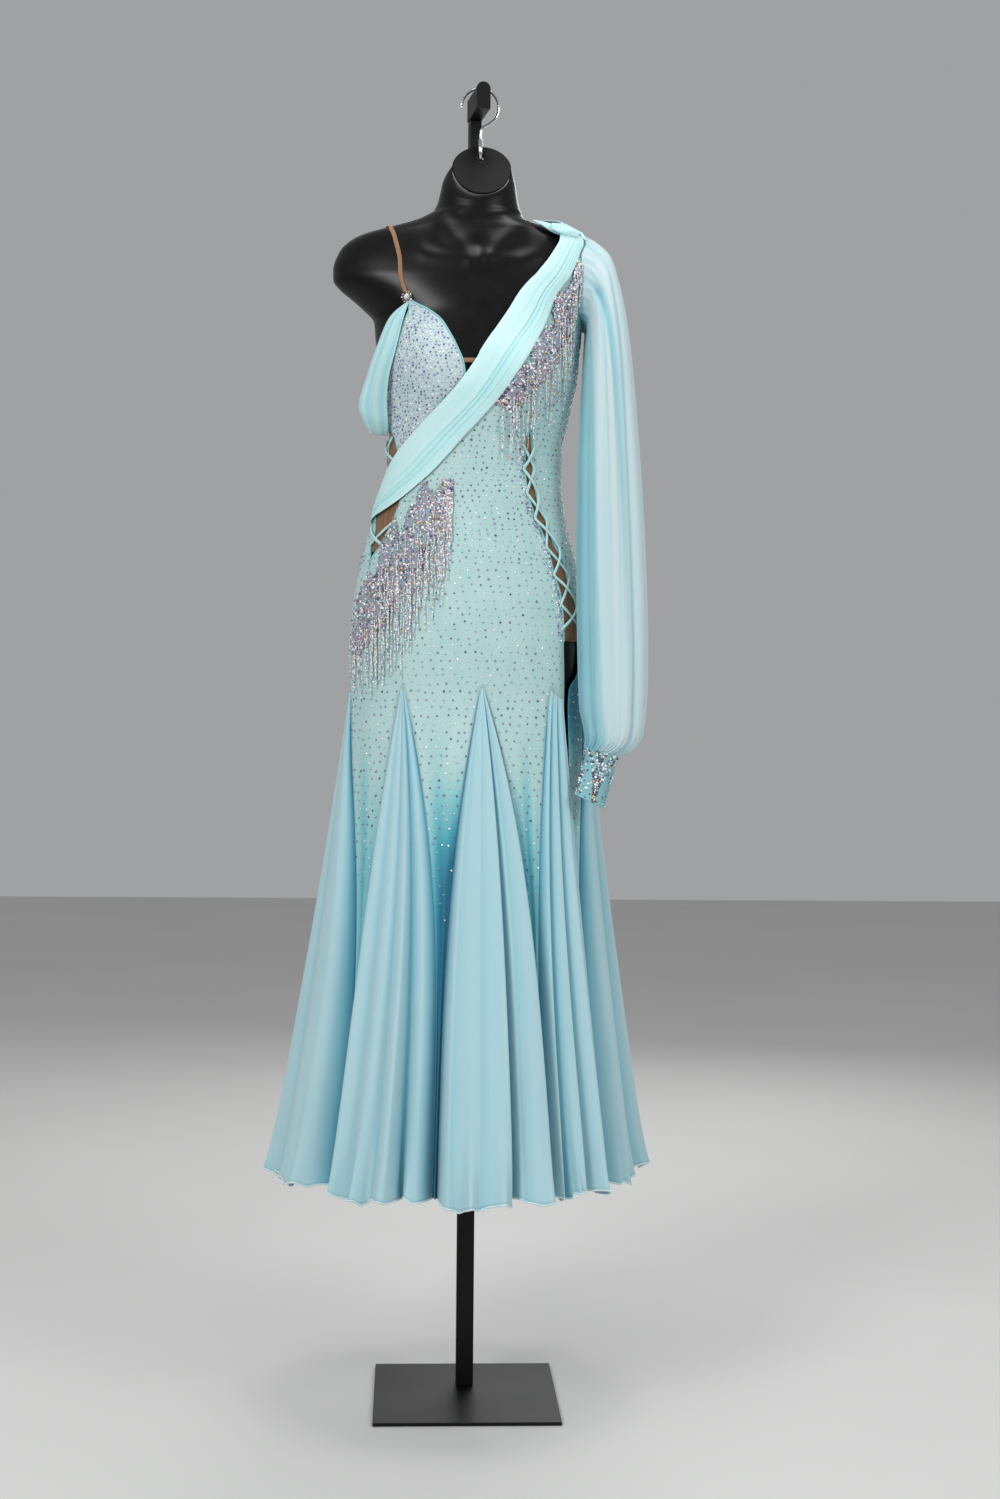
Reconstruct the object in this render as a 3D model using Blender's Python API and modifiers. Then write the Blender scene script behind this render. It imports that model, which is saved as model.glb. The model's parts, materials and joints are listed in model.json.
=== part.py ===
"""A long ballroom gown on a hanging torso form and its stand.

Metres, +Z up. The origin is the middle of the base plate's underside. The front faces -Y and the
wearer's left side is at +X. An angle goes round the body from the front centre, 90 at +X.

The torso's surface is a stack of half-ellipse sections. The form, the cloth panels and all that
lies on them are made from that one surface, moved out by a lift in millimetres.
"""

from collections import namedtuple
from math import asin, cos, degrees, exp, pi, radians, sin, tan

import bmesh
import bpy
from mathutils import Matrix, Vector

MM = 0.001

# Walls, gaps and lifts above the form, in millimetres
GAP = 0.3
FORM_WALL = 4.0
PANEL_WALL = 1.5
CHIFFON_WALL = 1.2
PANEL_LIFT = 5.0
MESH_LIFT = 4.7
SASH_LIFT = 9.2
LOOP_LIFTS = (6.2, 10.9)
HIP_BAND_LIFT = 8.0
BUST_BAND_LIFT = 8.8
APPLIQUE_WALL = 2.0
CORD_LIFT = 7.7
CORD_OVER = 3.0
CORD_WIDTH = 4.0
CORD_WALL = 1.9
STRAP_LIFT = 2.1
STRAP_WIDTH = 8.0
JEWEL_RADIUS = 7.5
JEWEL_FLAT = 0.55

# Heights of the gown, in metres
SHOULDER = 1.650
HOLE_TOP = 1.375
GODET_TOP = 1.012

# Stand, in metres
PLATE = (0.260, 0.270, 0.005)
POST_AXIS_Y = 0.040
LOWER_POST = 0.025
LOWER_POST_TOP = 1.020
UPPER_POST = 0.017
UPPER_POST_TOP = 1.8345
POST_YAW = radians(9)
ARM_REACH = 0.060
ARM_BACK = 0.0085
ARM_WIDTH = 0.020
ARM_TOP = 1.866
TONGUE = 0.005
TONGUE_TOP = 1.873

# Neck cap and hook, in metres
CAP_SLOPE = 1.1
CAP_POINT = (0.002, 1.7685)
CAP_WALL = 0.003
CAP_RISE = 0.005
CAP_HALF = 0.042
CAP_HOLE = 0.0046
HOOK_X = 0.0073
HOOK_Y = 0.002
HOOK_RADIUS = 0.0267
HOOK_WIRE = 0.0019
FERRULE = 1.6
HOOK_BEND = ((0.0120, 0.0242), (0.0060, 0.0277), (0.0022, 0.0320), (0.0013, 0.0380))
HOOK_NECK = 0.0445
FORM_BOTTOM = 0.930
FORM_EDGE = 104.0
FORM_INSET = 0.8
FORM_INSET_TOP = 1.510

# One section of the torso: height, middle and half width along X, reach to the front and to the
# back of the middle line, and the middle line's place along Y, all in millimetres
Section = namedtuple("Section", "height centre half front back middle")
TORSO = (
    Section(1790, 8, 38, 38, 34, -18),
    Section(1758, 8.5, 43, 42, 36, -16),
    Section(1740, 5, 50, 45, 38, -14),
    Section(1721, 4.5, 53.5, 48, 40, -12),
    Section(1703, 4, 57.5, 51, 43, -9),
    Section(1690, 3, 63.5, 54, 46, -7),
    Section(1680, -3, 76, 56, 49, -5),
    Section(1669, -2, 113, 60, 52, -2),
    Section(1663, -1, 137, 63, 54, -1),
    Section(1656, -4.5, 158, 66, 57, 0),
    Section(1648, -5, 173, 69, 58, 0),
    Section(1634, -5, 187, 74, 60, 0),
    Section(1607, -5, 196.5, 82, 63, 0),
    Section(1592, -5.5, 195.5, 86, 64, 0),
    Section(1580, -5, 187, 89, 65, 0),
    Section(1566, -3, 172, 93, 67, 0),
    Section(1555, -1, 161, 96, 68, 0),
    Section(1533, 3.5, 146, 101, 70, 0),
    Section(1503, 3.5, 143.5, 107, 72, 0),
    Section(1475, 5, 140, 111, 72, 0),
    Section(1439, 8, 132.5, 111, 71, 0),
    Section(1400, 7, 125, 106, 69, 0),
    Section(1353, 3, 119, 98, 66, 0),
    Section(1317, 2, 119, 95, 66, 0),
    Section(1281, -1, 124.5, 97, 68, 0),
    Section(1248, -4, 132.5, 101, 71, 0),
    Section(1204, -5, 146, 107, 76, 0),
    Section(1175, -5, 152, 110, 79, 0),
    Section(1127, -5.5, 159, 114, 83, 0),
    Section(1067, -5.5, 162.5, 116, 86, 0),
    Section(1010, -5, 163, 115, 86, 0),
    Section(930, -5, 159, 112, 84, 0),
)
Bust = namedtuple("Bust", "centre apart height wide tall out")
BUST = Bust(4, 68, 1450, 42, 48, 22)
HEM_RING = Section(331, -12.5, 252, 256, 222, 0)

# Edges on the body: height in millimetres, angle in degrees
Edge = namedtuple("Edge", "height angle")
UNDER_SASH = (
    Edge(1650, 47), Edge(1618, 39.6), Edge(1582, 33.2), Edge(1537, 29.6), Edge(1480, 16.5),
    Edge(1432, 2.5), Edge(1385, -15.9), Edge(1331, -37), Edge(1302, -54),
)
FRONT_RIGHT_SIDE = UNDER_SASH[:-1] + (
    Edge(1302, -53), Edge(1258, -50.8), Edge(1239, -52.6), Edge(1212, -56.2), Edge(1190, -64.7),
    Edge(1150, -69), Edge(1100, -75), Edge(1050, -80), Edge(1012, -82.4),
)
LEFT_ARMHOLE = (
    Edge(1650, 62.6), Edge(1620, 51.5), Edge(1600, 50.2), Edge(1580, 52.8), Edge(1560, 61),
    Edge(1545, 68), Edge(1535, 75), Edge(1520, 84), Edge(1500, 88), Edge(1400, 91),
    Edge(1200, 90), Edge(1100, 87), Edge(1050, 84), Edge(1012, 80.3),
)
CUTOUT_FRONT = (
    Edge(1375, 35), Edge(1360, 32.6), Edge(1312, 34), Edge(1280, 36.4), Edge(1257, 40.3),
    Edge(1231, 44.2), Edge(1205, 46.8), Edge(1178, 48), Edge(1159, 50.5), Edge(1138, 52.4),
    Edge(1117, 53), Edge(1012, 53),
)
CUTOUT_BACK = (
    Edge(1375, 35), Edge(1361, 37.8), Edge(1327, 40), Edge(1298, 41), Edge(1287, 43.1),
    Edge(1263, 45.4), Edge(1246, 50.4), Edge(1214, 53), Edge(1195, 58.6), Edge(1160, 62),
    Edge(1137, 67), Edge(1110, 71), Edge(1080, 73.5), Edge(1050, 71), Edge(1030, 65),
    Edge(1012, 57.5),
)
BACK_LEFT_SIDE = (
    Edge(1650, 117.4), Edge(1620, 128.5), Edge(1600, 129.8), Edge(1580, 127.2), Edge(1560, 119),
    Edge(1545, 112), Edge(1535, 105), Edge(1520, 96), Edge(1500, 90), Edge(1400, 91),
    Edge(1200, 90), Edge(1100, 87), Edge(1050, 84), Edge(1012, 83.7),
)
BACK_RIGHT_SIDE = (
    Edge(1650, 133), Edge(1620, 143), Edge(1600, 148), Edge(1580, 152), Edge(1560, 158),
    Edge(1540, 166), Edge(1520, 176), Edge(1500, 188), Edge(1480, 201), Edge(1460, 217),
    Edge(1440, 235), Edge(1425, 250), Edge(1410, 260), Edge(1380, 256), Edge(1340, 254),
    Edge(1300, 260), Edge(1275, 270), Edge(1253, 280), Edge(1225, 290.9), Edge(1210, 291.2),
    Edge(1190, 295), Edge(1150, 291), Edge(1100, 285), Edge(1050, 280), Edge(1012, 272.9),
)
CUP_SIDE = (
    Edge(1549, -37.5), Edge(1520, -44), Edge(1482, -51.1), Edge(1462, -62), Edge(1443, -76),
    Edge(1424, -87), Edge(1400, -85), Edge(1385, -78), Edge(1372, -70.6), Edge(1353, -64.2),
    Edge(1330, -60), Edge(1308, -57.5),
)
CUP_NECKLINE = (
    Edge(1549, -34.4), Edge(1538, -29.6), Edge(1519, -20.8), Edge(1498, -16.1),
    Edge(1476, -12.6), Edge(1461, -10.7), Edge(1442, -10.2), Edge(1420, -9.8), Edge(1400, -12),
    Edge(1385, -17.6), Edge(1360, -28), Edge(1331, -40), Edge(1308, -53.5),
)

# The sash's two edges, from the left shoulder to the right side of the waist
Sash = namedtuple("Sash", "upper_angle upper_height lower_angle lower_height out")
SASH = (
    Sash(46, 1648, 62, 1646, 0), Sash(36, 1620, 50, 1621, 0), Sash(26.5, 1585, 42.6, 1579, 0),
    Sash(18.6, 1544, 42, 1530, 1), Sash(6.1, 1490, 28.7, 1471, 1),
    Sash(-10.3, 1441, 15.7, 1424, 1), Sash(-30.1, 1395, -2.6, 1376, 0),
    Sash(-48, 1361, -23.6, 1321, 0), Sash(-64, 1337, -41.1, 1286, 0),
    Sash(-80, 1314, -58.2, 1260, 1), Sash(-95, 1290, -80, 1250, 1),
    Sash(-104, 1268, -98, 1246, 0), Sash(-112, 1254, -108, 1243, 0),
)

# Folds across a godet at the hem: share of its width, and the push outwards in millimetres
Fold = namedtuple("Fold", "share push")
SEAM_PUSH = -34.0
PLAIN_FOLDS = (Fold(0, SEAM_PUSH), Fold(0.2, 20), Fold(0.42, -16), Fold(0.7, 24), Fold(1, SEAM_PUSH))
UNEVEN_FOLDS = (Fold(0, SEAM_PUSH), Fold(0.3, 24), Fold(0.55, -8), Fold(0.78, 18), Fold(1, SEAM_PUSH))
Godet = namedtuple("Godet", "top half hem_from hem_to folds")
GODETS = (
    Godet(-85, 2.4, -112, -48, (
        Fold(0, SEAM_PUSH), Fold(0.15, 10), Fold(0.24, -10), Fold(0.4, 22), Fold(0.66, -4),
        Fold(0.82, 16), Fold(1, SEAM_PUSH))),
    Godet(-34, 2.2, -46.4, -8.3, (
        Fold(0, SEAM_PUSH), Fold(0.2, 22), Fold(0.4, -6), Fold(0.58, 24), Fold(0.7, -16),
        Fold(0.86, 14), Fold(1, SEAM_PUSH))),
    Godet(6, 2.2, -6.3, 28.7, (
        Fold(0, SEAM_PUSH), Fold(0.14, 18), Fold(0.46, 26), Fold(0.6, -18), Fold(0.8, 20),
        Fold(1, SEAM_PUSH))),
    Godet(48, 5, 30.3, 52.4, (
        Fold(0, SEAM_PUSH), Fold(0.14, 2), Fold(0.3, -16), Fold(0.45, 4), Fold(0.55, -10),
        Fold(0.78, 22), Fold(1, SEAM_PUSH))),
    Godet(82, 1.5, 54, 112, (
        Fold(0, SEAM_PUSH), Fold(0.16, 10), Fold(0.28, -12), Fold(0.56, 22), Fold(0.74, -14),
        Fold(0.88, 12), Fold(1, SEAM_PUSH))),
    Godet(118, 2.2, 113.6, 142, PLAIN_FOLDS),
    Godet(152, 2.2, 143.6, 170, UNEVEN_FOLDS),
    Godet(188, 2.2, 171.6, 205, PLAIN_FOLDS),
    Godet(228, 2.2, 206.6, 246.4, UNEVEN_FOLDS),
)
SKIRT_LEVELS = (1, 0.74, 0.5, 0.3, 0.16, 0.06, 0)
FOLD_STEPS = 2
SPREAD = 3.5
SEAM_GROWTH = 0.9
FOLD_GROWTH = 1.15
SEAM_ANGLE = 0.15

# One ring of the sleeve: its inner and outer end in X and Z, its middle and half depth in Y
Ring = namedtuple("Ring", "inner_x inner_z outer_x outer_z middle half_depth fold")
SLEEVE = (
    Ring(161, 1530, 154, 1661, -4, 58, 0), Ring(158, 1512, 176, 1647, -10, 58, 1),
    Ring(156, 1495, 193, 1628, -18, 56, 1.5), Ring(154, 1468, 203, 1594, -28, 54, 2.5),
    Ring(152, 1437, 211, 1552, -38, 51, 3), Ring(150, 1395, 219, 1487, -48, 47, 3.5),
    Ring(148, 1320, 229, 1362, -58, 42, 3.5), Ring(147, 1215, 237, 1235, -66, 39, 3.5),
    Ring(148, 1110, 242, 1118, -70, 38, 3.5), Ring(150, 1030, 243, 1032, -73, 38, 3.5),
    Ring(152, 985, 241, 982, -75, 37, 3.5), Ring(157, 958, 237, 950, -78, 33, 3),
    Ring(160, 942, 225, 930, -80, 28, 2), Ring(158, 931, 205, 919, -82, 21, 0.5),
)
SLEEVE_FOLDS = 6
SLEEVE_COLUMNS = 24
CUFF = (
    Ring(157.6, 930.2, 204.4, 918.2, -82.3, 20.6, 0), Ring(149.5, 896.8, 192, 879.8, -97, 18, 0),
    Ring(142.5, 866.8, 182.5, 847.8, -111, 16.5, 0),
)

# The armlet's inner and outer edge from the jewel, under the arm's place, to the back
Drape = namedtuple("Drape", "inner outer bulge")
ARMLET = (
    Drape((-93.6, -85.6, 1546), (-99.1, -82.9, 1545), 0), Drape((-106, -81, 1516), (-122, -66, 1527), 3),
    Drape((-114, -78, 1482), (-141, -54, 1483), 5), Drape((-127, -54, 1448), (-153, -47, 1447), 6),
    Drape((-132, -40, 1416), (-163, -38, 1412), 6), Drape((-131, -28, 1390), (-157, -26, 1391), 5),
    Drape((-131, -10, 1373), (-147, -10, 1378), 4), Drape((-134, 8, 1378), (-152, 8, 1389), 5),
    Drape((-127, 17, 1379), (-138, 21, 1396), 2), Drape((-118, 22.5, 1381), (-116, 27.5, 1399), 0),
)

# The elastic strap over the right shoulder: angle and height
STRAP = (
    Edge(1554, -35.4), Edge(1600, -29.5), Edge(1634, -32.5), Edge(1652, -42), Edge(1662, -57),
    Edge(1666, -78), Edge(1666.5, -92), Edge(1664.5, -106), Edge(1660, -116),
)
STRAP_END = Edge(1411, -109)
STRAP_STRAIGHT = 8
BRIDGE = (Edge(1461, -10.3), Edge(1462, 0), Edge(1463, 10.6))

# Each applique band's two edges, and its strands
Band = namedtuple("Band", "upper_angle upper_height lower_angle lower_height length")
HIP_BAND = (
    Band(-17, 1284, -14, 1243, 112), Band(-32, 1264, -22, 1195, 100),
    Band(-42, 1240, -29, 1158, 108), Band(-49.5, 1212, -36.5, 1136, 112),
    Band(-58.5, 1175, -44, 1112, 92), Band(-66, 1135, -54, 1086, 66), Band(-80, 1080, -71, 1056, 36),
)
BUST_BAND = (
    Band(47, 1588, 50, 1582, 60), Band(46, 1556, 57, 1546, 105), Band(45.5, 1530, 60, 1505, 100),
    Band(36.5, 1490, 50, 1462, 78), Band(27, 1452, 38, 1424, 50), Band(20, 1424, 26, 1398, 24),
)
STRAND_STEPS = 2

Finish = namedtuple("Finish", "name colour roughness metallic")
STRETCH = Finish("aqua_stretch", (0.42, 0.74, 0.74), 0.45, 0)
CHIFFON = Finish("aqua_chiffon", (0.45, 0.78, 0.83), 0.7, 0)
TAN_MESH = Finish("tan_mesh", (0.32, 0.17, 0.07), 0.6, 0)
ELASTIC = Finish("tan_elastic", (0.42, 0.24, 0.10), 0.6, 0)
CRYSTAL = Finish("crystal", (0.70, 0.66, 0.74), 0.15, 0.3)
BLACK_GLOSS = Finish("black_plastic", (0.012, 0.012, 0.013), 0.3, 0)
BLACK_STEEL = Finish("black_steel", (0.015, 0.015, 0.016), 0.25, 0.6)
CHROME = Finish("chrome", (0.85, 0.85, 0.86), 0.08, 1)


def smooth_at(rows, key, field, value):
    """A column of a table read at a value of its key column, with no overshoot between rows."""
    keys = [getattr(entry, key) for entry in rows]
    values = [getattr(entry, field) for entry in rows]
    if (value - keys[0]) * (keys[-1] - keys[0]) <= 0:
        return values[0]
    if (value - keys[-1]) * (keys[0] - keys[-1]) <= 0:
        return values[-1]
    last = len(keys) - 1
    at = next(i for i in range(last) if (value - keys[i + 1]) * (keys[0] - keys[-1]) >= 0)

    def slope(i):
        """The slope at a row: none at the ends and at turning rows."""
        if i in (0, last):
            return 0.0
        before = (values[i] - values[i - 1]) / (keys[i] - keys[i - 1])
        after = (values[i + 1] - values[i]) / (keys[i + 1] - keys[i])
        return 0.0 if before * after <= 0 else 2 * before * after / (before + after)

    span = keys[at + 1] - keys[at]
    t = (value - keys[at]) / span
    return (values[at] * (1 + 2 * t) * (1 - t) ** 2 + slope(at) * span * t * (1 - t) ** 2
            + values[at + 1] * t * t * (3 - 2 * t) + slope(at + 1) * span * t * t * (t - 1))


def smooth_along(rows, field, share):
    """A column of a table read at a share of the way along its rows, as a smooth curve."""
    last = len(rows) - 1
    place = min(max(share, 0.0), 1.0) * last
    at = min(int(place), last - 1)
    t = place - at
    a, b, c, d = (
        Vector(value) if isinstance(value, tuple) else value
        for value in (getattr(rows[min(max(at + k, 0), last)], field) for k in (-1, 0, 1, 2))
    )
    return 0.5 * (2 * b + (c - a) * t + (2 * a - 5 * b + 4 * c - d) * t ** 2
                  + (3 * b - a - 3 * c + d) * t ** 3)


def mix(low, high, share):
    """A value between two, at a share of the way."""
    return low + (high - low) * share


def edge_angle(edge, z):
    """The angle of an edge at a height in metres."""
    return smooth_at(edge, "height", "angle", z / MM)


def on_form(angle, z):
    """A point on the torso's surface."""
    height = z / MM
    centre, half, front, back, middle = (
        smooth_at(TORSO, "height", name, height) for name in Section._fields[1:])
    across = sin(radians(angle))
    ahead = cos(radians(angle))
    x = centre + half * across
    y = middle - (front if ahead > 0 else back) * ahead
    if ahead > 0:
        aside = (abs(x - BUST.centre) - BUST.apart) / BUST.wide
        above = (height - BUST.height) / BUST.tall
        y -= BUST.out * exp(-aside ** 2 - above ** 2) * min(1.0, 2 * ahead)
    return Vector((x, y, height)) * MM


def skin(angle, z, lift):
    """A point moved out from the torso's surface by a lift in millimetres."""
    return on_form(angle, z) + skin_normal(angle, z) * lift * MM


def skin_normal(angle, z):
    """The torso's outward direction at a point."""
    around = on_form(angle + 1, z) - on_form(angle - 1, z)
    upward = on_form(angle, z + 4 * MM) - on_form(angle, z - 4 * MM)
    return around.cross(upward).normalized()


def skirt_point(top_angle, hem_angle, drop, push):
    """A point on the skirt: drop is 0 at the godets' tops and 1 at the hem."""
    spread = 1 - (1 - drop) ** SPREAD
    angle = mix(top_angle, hem_angle, spread)
    ahead = cos(radians(angle))
    hem = Vector((HEM_RING.centre + HEM_RING.half * sin(radians(angle)),
                  HEM_RING.middle - (HEM_RING.front if ahead > 0 else HEM_RING.back) * ahead,
                  HEM_RING.height)) * MM
    point = skin(angle, GODET_TOP, PANEL_LIFT).lerp(hem, drop)
    outward = Vector((sin(radians(angle)), -ahead, 0))
    reach = SEAM_PUSH * drop ** SEAM_GROWTH + (push - SEAM_PUSH) * drop ** FOLD_GROWTH
    return point + outward * reach * MM


def mesh_object(name, bm, finish, collection):
    """A named object from a bmesh, with its material."""
    mesh = bpy.data.meshes.new(name)
    bm.to_mesh(mesh)
    bm.free()
    mesh.shade_smooth()
    mesh.set_sharp_from_angle(angle=radians(40))
    item = bpy.data.objects.new(name, mesh)
    collection.objects.link(item)
    material = bpy.data.materials.new(name + "_" + finish.name)
    material.use_nodes = True
    shader = material.node_tree.nodes["Principled BSDF"]
    shader.inputs["Base Color"].default_value = (*finish.colour, 1)
    shader.inputs["Roughness"].default_value = finish.roughness
    shader.inputs["Metallic"].default_value = finish.metallic
    mesh.materials.append(material)
    return item


def add_grid(bm, columns, rows, place, keep=None):
    """A grid whose corners are placed by their column and row, with unwanted faces left out."""
    sheet = bmesh.new()
    bmesh.ops.create_grid(sheet, x_segments=columns, y_segments=rows, size=1)
    if keep:
        spare = []
        for face in sheet.faces:
            middle = face.calc_center_median()
            column = int((middle.x + 1) / 2 * columns)
            row = int((middle.y + 1) / 2 * rows)
            if not keep(column, row):
                spare.append(face)
        bmesh.ops.delete(sheet, geom=spare, context="FACES")
    for corner in sheet.verts:
        column = round((corner.co.x + 1) / 2 * columns)
        row = round((corner.co.y + 1) / 2 * rows)
        corner.co = place(column, row)
    part = bpy.data.meshes.new("grid")
    sheet.to_mesh(part)
    sheet.free()
    bm.from_mesh(part)
    bpy.data.meshes.remove(part)


def cloth(name, bm, finish, wall, collection):
    """A panel: its grids are joined where they meet, and its wall goes inwards."""
    bmesh.ops.remove_doubles(bm, verts=bm.verts, dist=2e-5)
    item = mesh_object(name, bm, finish, collection)
    thickness = item.modifiers.new("wall", "SOLIDIFY")
    thickness.thickness = wall * MM
    thickness.offset = -1
    return item


def godet_columns():
    """The angles along the godets' tops where the front panel's columns stand."""
    inside = GODETS[1:4]
    start = edge_angle(FRONT_RIGHT_SIDE, GODET_TOP)
    end = edge_angle(CUTOUT_FRONT, GODET_TOP)
    stops = [start]
    for godet in inside:
        stops += [godet.top - godet.half, godet.top + godet.half]
    stops[-1] = end
    return stops


def tail_place(from_top, to_top, from_hem, to_hem, columns):
    """A tail between two godets, whose columns run from seam to seam."""
    def place(column, row):
        """A corner of the tail."""
        share = column / columns
        drop = SKIRT_LEVELS[row]
        return skirt_point(mix(from_top, to_top, share), mix(from_hem, to_hem, share), drop,
                           SEAM_PUSH)
    return place


def add_tail(bm, from_top, to_top, from_hem, to_hem, columns):
    """A tail joined under a panel."""
    place = tail_place(from_top, to_top, from_hem + SEAM_ANGLE, to_hem - SEAM_ANGLE, columns)
    add_grid(bm, columns, len(SKIRT_LEVELS) - 1, place)


def levels_between(low, high, step):
    """Even heights from low to high, near a step apart."""
    count = max(1, round((high - low) / step))
    return [mix(low, high, i / count) for i in range(count + 1)]


TAIL_COLUMNS = (3, 4, 3)
ROW_STEP = 0.033


def panel_levels():
    """The heights of the panels' rows, the same on both sides of a seam."""
    return (levels_between(GODET_TOP, HOLE_TOP, ROW_STEP)
            + levels_between(HOLE_TOP, SHOULDER, ROW_STEP)[1:])


def front_shares():
    """Where the columns stand between the front panel's right side and the cut-out."""
    stops = godet_columns()
    marks = [stops[0]]
    for tail in range(len(TAIL_COLUMNS)):
        low, high = stops[2 * tail], stops[2 * tail + 1]
        marks += [mix(low, high, (i + 1) / TAIL_COLUMNS[tail]) for i in range(TAIL_COLUMNS[tail])]
        marks.append(stops[2 * tail + 2])
    return [(mark - stops[0]) / (stops[-1] - stops[0]) for mark in marks]


SIDE_COLUMNS = 3


def front_panel(collection):
    """The front, with its long cut-out at the left and the tails between the front godets."""
    bm = bmesh.new()
    shares = front_shares()
    wide = len(shares) - 1
    lower = levels_between(GODET_TOP, HOLE_TOP, ROW_STEP)
    upper = levels_between(HOLE_TOP, SHOULDER, ROW_STEP)
    left = edge_angle(FRONT_RIGHT_SIDE, HOLE_TOP)
    split = (edge_angle(CUTOUT_FRONT, HOLE_TOP) - left) / (edge_angle(LEFT_ARMHOLE, HOLE_TOP) - left)

    def above(column, row):
        """A corner above the cut-out."""
        z = upper[row]
        share = (split * shares[column] if column <= wide
                 else mix(split, 1, (column - wide) / SIDE_COLUMNS))
        return skin(mix(edge_angle(FRONT_RIGHT_SIDE, z), edge_angle(LEFT_ARMHOLE, z), share), z,
                    PANEL_LIFT)

    def beside(column, row):
        """A corner between the right side and the cut-out."""
        z = lower[row]
        return skin(mix(edge_angle(FRONT_RIGHT_SIDE, z), edge_angle(CUTOUT_FRONT, z),
                        shares[column]), z, PANEL_LIFT)

    def behind(column, row):
        """A corner between the cut-out and the left side seam."""
        z = lower[row]
        return skin(mix(edge_angle(CUTOUT_BACK, z), edge_angle(LEFT_ARMHOLE, z),
                        column / SIDE_COLUMNS), z, PANEL_LIFT)

    add_grid(bm, wide + SIDE_COLUMNS, len(upper) - 1, above)
    add_grid(bm, wide, len(lower) - 1, beside)
    add_grid(bm, SIDE_COLUMNS, len(lower) - 1, behind)
    stops = godet_columns()
    for tail, columns in enumerate(TAIL_COLUMNS):
        add_tail(bm, stops[2 * tail], stops[2 * tail + 1], GODETS[tail].hem_to,
                 GODETS[tail + 1].hem_from, columns)
    side_start = edge_angle(CUTOUT_BACK, GODET_TOP)
    side_end = edge_angle(LEFT_ARMHOLE, GODET_TOP)
    add_tail(bm, side_start, side_end, GODETS[3].hem_to, GODETS[4].hem_from, SIDE_COLUMNS)
    cloth("front_panel", bm, STRETCH, PANEL_WALL, collection)


BACK_TAIL_COLUMNS = 3
BACK_SEAM = 0.7


def back_panel(collection):
    """The back, with a slanted top edge and the tails between the back godets."""
    bm = bmesh.new()
    godets = GODETS[5:]

    def sides(z):
        """The angles of the panel's left and right side at a height, clear of the front panel."""
        left = max(edge_angle(BACK_LEFT_SIDE, z), edge_angle(LEFT_ARMHOLE, z))
        right = min(edge_angle(BACK_RIGHT_SIDE, z), edge_angle(FRONT_RIGHT_SIDE, z) + 360)
        return left + BACK_SEAM, right - BACK_SEAM

    start, end = sides(GODET_TOP)
    stops = [start]
    for godet in godets:
        stops += [godet.top - godet.half, godet.top + godet.half]
    stops.append(end)
    marks = [start]
    for tail in range(len(godets) + 1):
        low, high = stops[2 * tail], stops[2 * tail + 1]
        marks += [mix(low, high, (i + 1) / BACK_TAIL_COLUMNS) for i in range(BACK_TAIL_COLUMNS)]
        if tail < len(godets):
            marks.append(stops[2 * tail + 2])
    shares = [(mark - start) / (end - start) for mark in marks]
    heights = panel_levels()

    def place(column, row):
        """A corner of the back above the tails."""
        z = heights[row]
        return skin(mix(*sides(z), shares[column]), z, PANEL_LIFT)

    add_grid(bm, len(shares) - 1, len(heights) - 1, place)
    hems = GODETS[4:] + (GODETS[0]._replace(hem_from=GODETS[0].hem_from + 360),)
    for tail in range(len(godets) + 1):
        add_tail(bm, stops[2 * tail], stops[2 * tail + 1], hems[tail].hem_to,
                 hems[tail + 1].hem_from, BACK_TAIL_COLUMNS)
    cloth("back_panel", bm, STRETCH, PANEL_WALL, collection)


def right_cup(collection):
    """The right cup, from the jewel to the point under the sash."""
    bm = bmesh.new()
    heights = levels_between(CUP_SIDE[-1].height * MM, CUP_SIDE[0].height * MM, 0.02)
    columns = 7

    def place(column, row):
        """A corner of the cup."""
        z = heights[row]
        inner = edge_angle(CUP_NECKLINE, z)
        return skin(mix(edge_angle(CUP_SIDE, z), inner, column / columns), z, PANEL_LIFT)

    add_grid(bm, columns, len(heights) - 1, place)
    cloth("right_cup", bm, STRETCH, PANEL_WALL, collection)


def fold_push(folds, share):
    """The push at a share of a godet's width, with rounded ridges and valleys."""
    at = next(i for i in range(len(folds) - 1) if share <= folds[i + 1].share + 1e-9)
    low, high = folds[at], folds[at + 1]
    turn = (1 - cos(pi * (share - low.share) / (high.share - low.share))) / 2
    return mix(low.push, high.push, turn)


def godet(number, shape, collection):
    """One chiffon godet, narrow at its top and folded at the hem."""
    bm = bmesh.new()
    shares = [mix(low.share, high.share, step / FOLD_STEPS)
              for low, high in zip(shape.folds, shape.folds[1:]) for step in range(FOLD_STEPS)]
    shares.append(1.0)
    top_from, top_to = shape.top - shape.half, shape.top + shape.half

    def place(column, row):
        """A corner of the godet."""
        share = shares[column]
        top = mix(top_from + SEAM_ANGLE, top_to - SEAM_ANGLE, share)
        hem = mix(shape.hem_from + SEAM_ANGLE / 2, shape.hem_to - SEAM_ANGLE / 2, share)
        point = skirt_point(top, hem, SKIRT_LEVELS[row], fold_push(shape.folds, share))
        if row == len(SKIRT_LEVELS) - 1:
            point.z -= GAP * MM
        return point

    add_grid(bm, len(shares) - 1, len(SKIRT_LEVELS) - 1, place)
    cloth(f"godet_{number}", bm, CHIFFON, CHIFFON_WALL, collection)


def seam_angle(edge, z):
    """The angle at a height of a seam that is straight between the panels' rows."""
    levels = panel_levels()
    at = next(i for i in range(len(levels) - 1) if z <= levels[i + 1] + 1e-6)
    share = (z - levels[at]) / (levels[at + 1] - levels[at])
    return mix(edge_angle(edge, levels[at]), edge_angle(edge, levels[at + 1]), share)


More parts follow.
